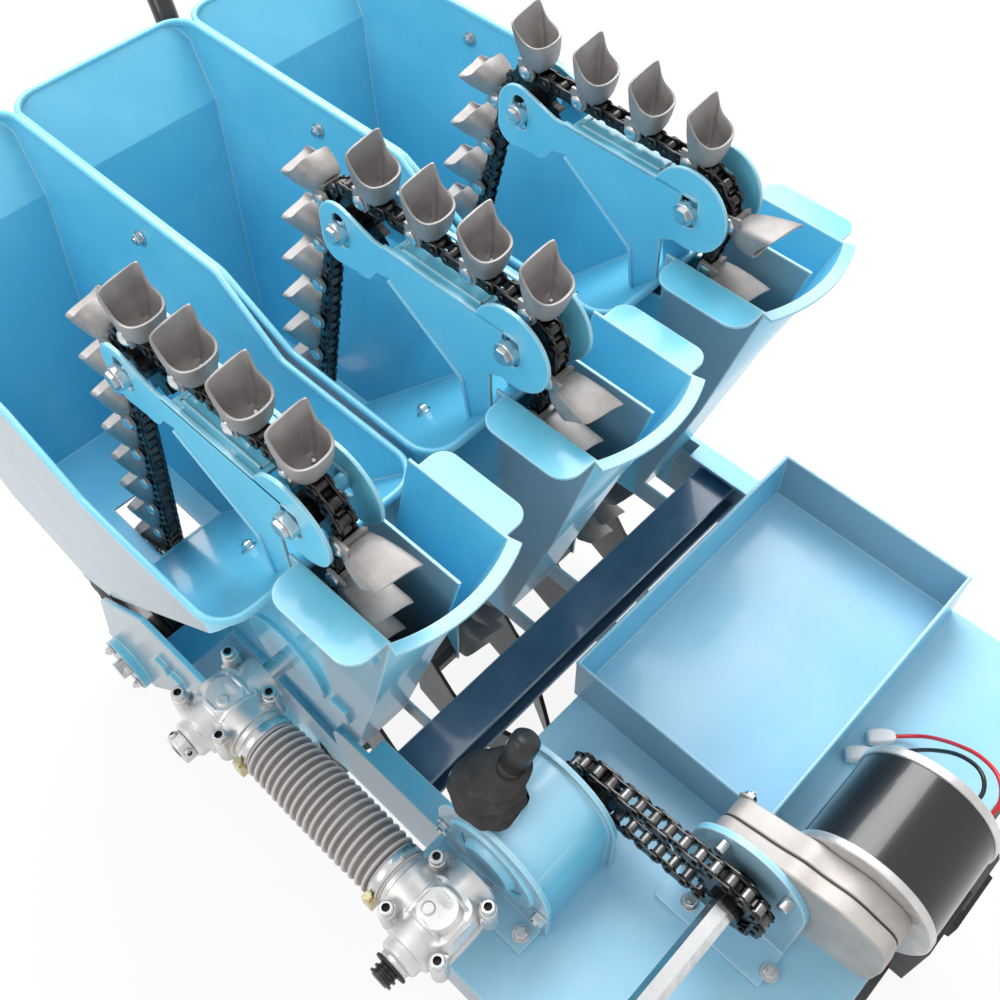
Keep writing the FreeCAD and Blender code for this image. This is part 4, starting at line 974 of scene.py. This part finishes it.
def hopper_rims():
    """Rolled rims; the side walls lean in, and the front of each rim is lower."""
    s = Shape()
    (left, right), (front, rear) = HOP_X, HOP_Y
    r = HOP_CORNER
    for row in ROWS:
        path = []
        for cx, cy, start, z in ((right, front, -90, HOP_LOW), (right, rear, 0, HOP_TOP),
                                 (left, rear, 90, HOP_TOP), (left, front, 180, HOP_LOW)):
            drop = HOP_TOP - z
            x = cx - HOP_LEAN_RIGHT * drop if cx > 0 else cx + HOP_LEAN_LEFT * drop
            sx, sy = math.copysign(1, cx), math.copysign(1, cy)
            for k in range(7):
                a = math.radians(start + 15 * k)
                path.append((row + x - sx * r + (r - 1) * math.cos(a),
                             cy - sy * r + (r - 1) * math.sin(a), z))
            rise = HOP_RISE_RIGHT if cy < 0 < cx else HOP_RISE_LEFT if cx < 0 < cy else ()
            path += [(row + px, py, pz) for px, py, pz in rise]
        hem(s, path, 5.0, 5.0, BLUE)
    s.piece("hopper_rims", smooth=50)
    t = Shape()
    (x0, x1), (y0, y1), z = TRAY_X, TRAY_Y, TRAY_TOP
    hem(t, [(x0, y0, z), (x1, y0, z), (x1, y1, z), (x0, y1, z)], 3.6, 3.6, BLUE)
    t.piece("tray_rim", smooth=50)


hopper_rims()


# ------------------------------------------------------------------ bolts on the sheet metal
def sheet_bolts():
    """Bolts of the hopper walls, the rear axle's flange and the motor's bracket."""
    s = Shape()
    for r in ROWS:
        hex_bolt(s, Vector(FRONT_BOLT) + Vector((r, 0, 0)), (0, 1, 1), 5.0, 4.5)
        hex_bolt(s, Vector(WALL_BOLT) + Vector((r, 0, 0)), (-1, 0, 0.15), 5.0, 4.0)
    # pads on the left duct wall and beside the rear axle, and the axle's flange bolts
    for y, z in PADS:
        s.block((PAD_X[0], y - PAD_HALF, z - PAD_HALF), (PAD_X[1], y + PAD_HALF, z + PAD_HALF), BLUE)
    for k in range(4):
        t = math.pi / 4 + math.pi / 2 * k
        at = (PLATE_X - 9, REAR_AXLE[0] + 22 * math.cos(t), REAR_AXLE[1] + 22 * math.sin(t))
        hex_bolt(s, at, (-1, 0, 0), 4.4, 4.0)
    for x, y in BRACKET_FEET:
        hex_bolt(s, (x, y, FOOT_TOP), (0, 0, 1), 5.0, 4.0)
    for t in BRACKET_STUDS:
        c, d = OUT[0] + BRACKET_STUD_R * math.cos(t), OUT[1] + BRACKET_STUD_R * math.sin(t)
        s.rod((-104, c, d), (-113, c, d), 4.0, ZINC, 18, 0.6)
    s.piece("sheet_bolts")


sheet_bolts()


def arm_trim():
    """Folded edges and raised border of the arms, and the zinc bolts that clamp their wheels."""
    s, b = Shape(), Shape()
    z, (front, rear) = ARM_TOP, ARM_FLANGE_Y
    for r in ROWS:
        for x0, x1 in ARM_SIDES:
            s.block((r + x0, front, z - 2), (r + x1, rear, z + 1.2), BLUE)
        for x0, x1, y0, y1 in ARM_BORDER:
            s.block((r + x0, y0, z - 0.5), (r + x1, y1, z + 0.9), BLUE)
        # fold along the lower edge of the side plate
        for upper, lower in zip(ARM_FOLD, ARM_FOLD[1:]):
            s.rod((r - 19.4,) + upper, (r - 19.4,) + lower, 1.7, BLUE, 10)
        for y, zz in (TOP, FRONT):
            for x, side in ((r + ARM_SIDES[0][0], -1), (r + ARM_SIDES[1][1], 1)):
                b.rod((x, y, zz), (x + side * 6.4, y, zz), 8.7, ZINC, 32, 0.5)
                b.rod((x + side * 6, y, zz), (x + side * 9.5, y, zz), 6.6, ZINC, 6, 0.6)
    s.piece("arm_edges", bevel=0.4)
    b.piece("arm_bolts")


arm_trim()


# ------------------------------------------------------------------ tyres
def ribbed_tyre(side, hand):
    """Rear tyre with a rounded crown and close cross ribs."""
    s = Shape()
    x, (y, z), h, r = MID_X + side * TYRE_X, REAR_AXLE, TYRE_W / 2, TYRE_R
    profile = [(-h + 3, TYRE_SEAT), (-h, TYRE_SEAT + 8), (-h, r - 16), (-h + 2, r - 9), (h - 2, r - 9),
               (h, r - 16), (h, TYRE_SEAT + 8), (h - 3, TYRE_SEAT)]
    rings = [[(x + a, y + q * math.cos(2 * math.pi * i / 96), z + q * math.sin(2 * math.pi * i / 96))
              for i in range(96)] for a, q in profile]
    s.loft(rings, TYRE, None, (False, False))
    half = math.pi / TYRE_RIBS * 0.5
    for k in range(TYRE_RIBS):
        t = -math.pi / 2 + 2 * math.pi * k / TYRE_RIBS
        rib = [(q * math.cos(t + d) + y, q * math.sin(t + d) + z)
               for q, d in ((r - 11, -half * 1.25), (r - 0.3, -half), (r - 0.3, half), (r - 11, half * 1.25))]
        s.prism(rib, x - h + 1, x + h - 1, TYRE, 0.9)
    s.piece("tread_rear_" + hand, "rear_wheel_" + hand, ["rear_tyre_" + hand])


ribbed_tyre(-1, "left")
ribbed_tyre(1, "right")


# ------------------------------------------------------------------ finishes of the plain parts
FINISH_OF = {
    "blue_paint": BLUE, "dark_steel": DARK, "chain_steel": STEEL, "black_paint": BLACK,
    "cast_alloy": ALLOY, "grey_plastic": HOSE, "black_rubber": RUBBER, "black_plastic": BLACK_PLASTIC,
    "zinc_steel": ZINC, "motor_paint": ENAMEL, "red_cable": RED_LEAD, "black_cable": BLACK_LEAD,
    "white_plastic": WHITE, "tyre": TYRE,
}
for part in frame["record"]["subparts"]:
    obj = frame["nodes"][part["node"]]
    obj.data.materials.clear()
    finish = SLATE if part["node"] == "cross_beam" else FINISH_OF[part["material_slot"]]
    obj.data.materials.append(finish.material)


# ------------------------------------------------------------------ floor, light, camera
def studio():
    """Pale floor and soft, even light."""
    f = Finish("floor", "floor")
    ray = f.node("ShaderNodeLightPath", {}, {}, "Is Camera Ray")
    gloss = f.node("ShaderNodeLightPath", {}, {}, "Is Glossy Ray")
    tone = f.mix(f.noise(2.0, 2.0), (0.86, 0.86, 0.86), (0.90, 0.90, 0.90))
    matt = f.node("ShaderNodeBsdfDiffuse", {}, {"Color": tone})
    glow = f.node("ShaderNodeEmission", {}, {"Color": (1, 1, 1, 1), "Strength": 1.0})
    both = f.node("ShaderNodeMixShader", {}, {0: (0.9 * ray + 0.5 * gloss).clip(), 1: matt, 2: glow})
    out = f.tree.nodes.new("ShaderNodeOutputMaterial")
    f.tree.links.new(both.socket, out.inputs["Surface"])
    mesh = bpy.data.meshes.new("floor")
    mesh.from_pydata([(-9, -9, 0), (9, -9, 0), (9, 9, 0), (-9, 9, 0)], [], [(0, 1, 2, 3)])
    mesh.materials.append(f.material)
    floor = bpy.data.objects.new("floor", mesh)
    bpy.context.collection.objects.link(floor)

    world = bpy.data.worlds.new("studio")
    bpy.context.scene.world = world
    world.use_nodes = True
    back = world.node_tree.nodes["Background"]
    back.inputs["Color"].default_value = (1, 1, 1, 1)
    back.inputs["Strength"].default_value = 0.86

    def lamp(name, at, aim, size, power):
        data = bpy.data.lights.new(name, "AREA")
        data.shape, data.size, data.energy = "DISK", size, power
        obj = bpy.data.objects.new(name, data)
        bpy.context.collection.objects.link(obj)
        obj.location = at
        obj.rotation_euler = (Vector(aim) - Vector(at)).to_track_quat("-Z", "Y").to_euler()
    lamp("overhead", (1.25, 1.05, 2.75), (0.0, -0.15, 0.4), 2.4, 100)
    lamp("left", (-1.9, 0.3, 2.0), (0.0, -0.1, 0.4), 1.2, 12)


studio()


EYE = (-367.9, -504.0, 1178.5)
TURNED, RAISED, ROLLED = -46.48, 55.16, -0.24


def camera():
    """The view from above the left front corner."""
    a, e, roll = math.radians(TURNED), math.radians(RAISED), math.radians(ROLLED)
    back = Vector((math.sin(a) * math.cos(e), -math.cos(a) * math.cos(e), math.sin(e)))
    right = Vector((math.cos(a), math.sin(a), 0))
    up = back.cross(right)
    r2 = right * math.cos(roll) + up * math.sin(roll)
    u2 = up * math.cos(roll) - right * math.sin(roll)
    m = Matrix((r2, u2, back)).transposed().to_4x4()
    m.translation = place(EYE)
    data = bpy.data.cameras.new("camera")
    data.sensor_width, data.lens = 36.0, 40.525
    data.shift_x, data.shift_y = -0.0229, 0.0063
    cam = bpy.data.objects.new("camera", data)
    cam.matrix_world = m
    bpy.context.collection.objects.link(cam)
    bpy.context.scene.camera = cam


camera()
bpy.context.scene.view_settings.view_transform = "Standard"
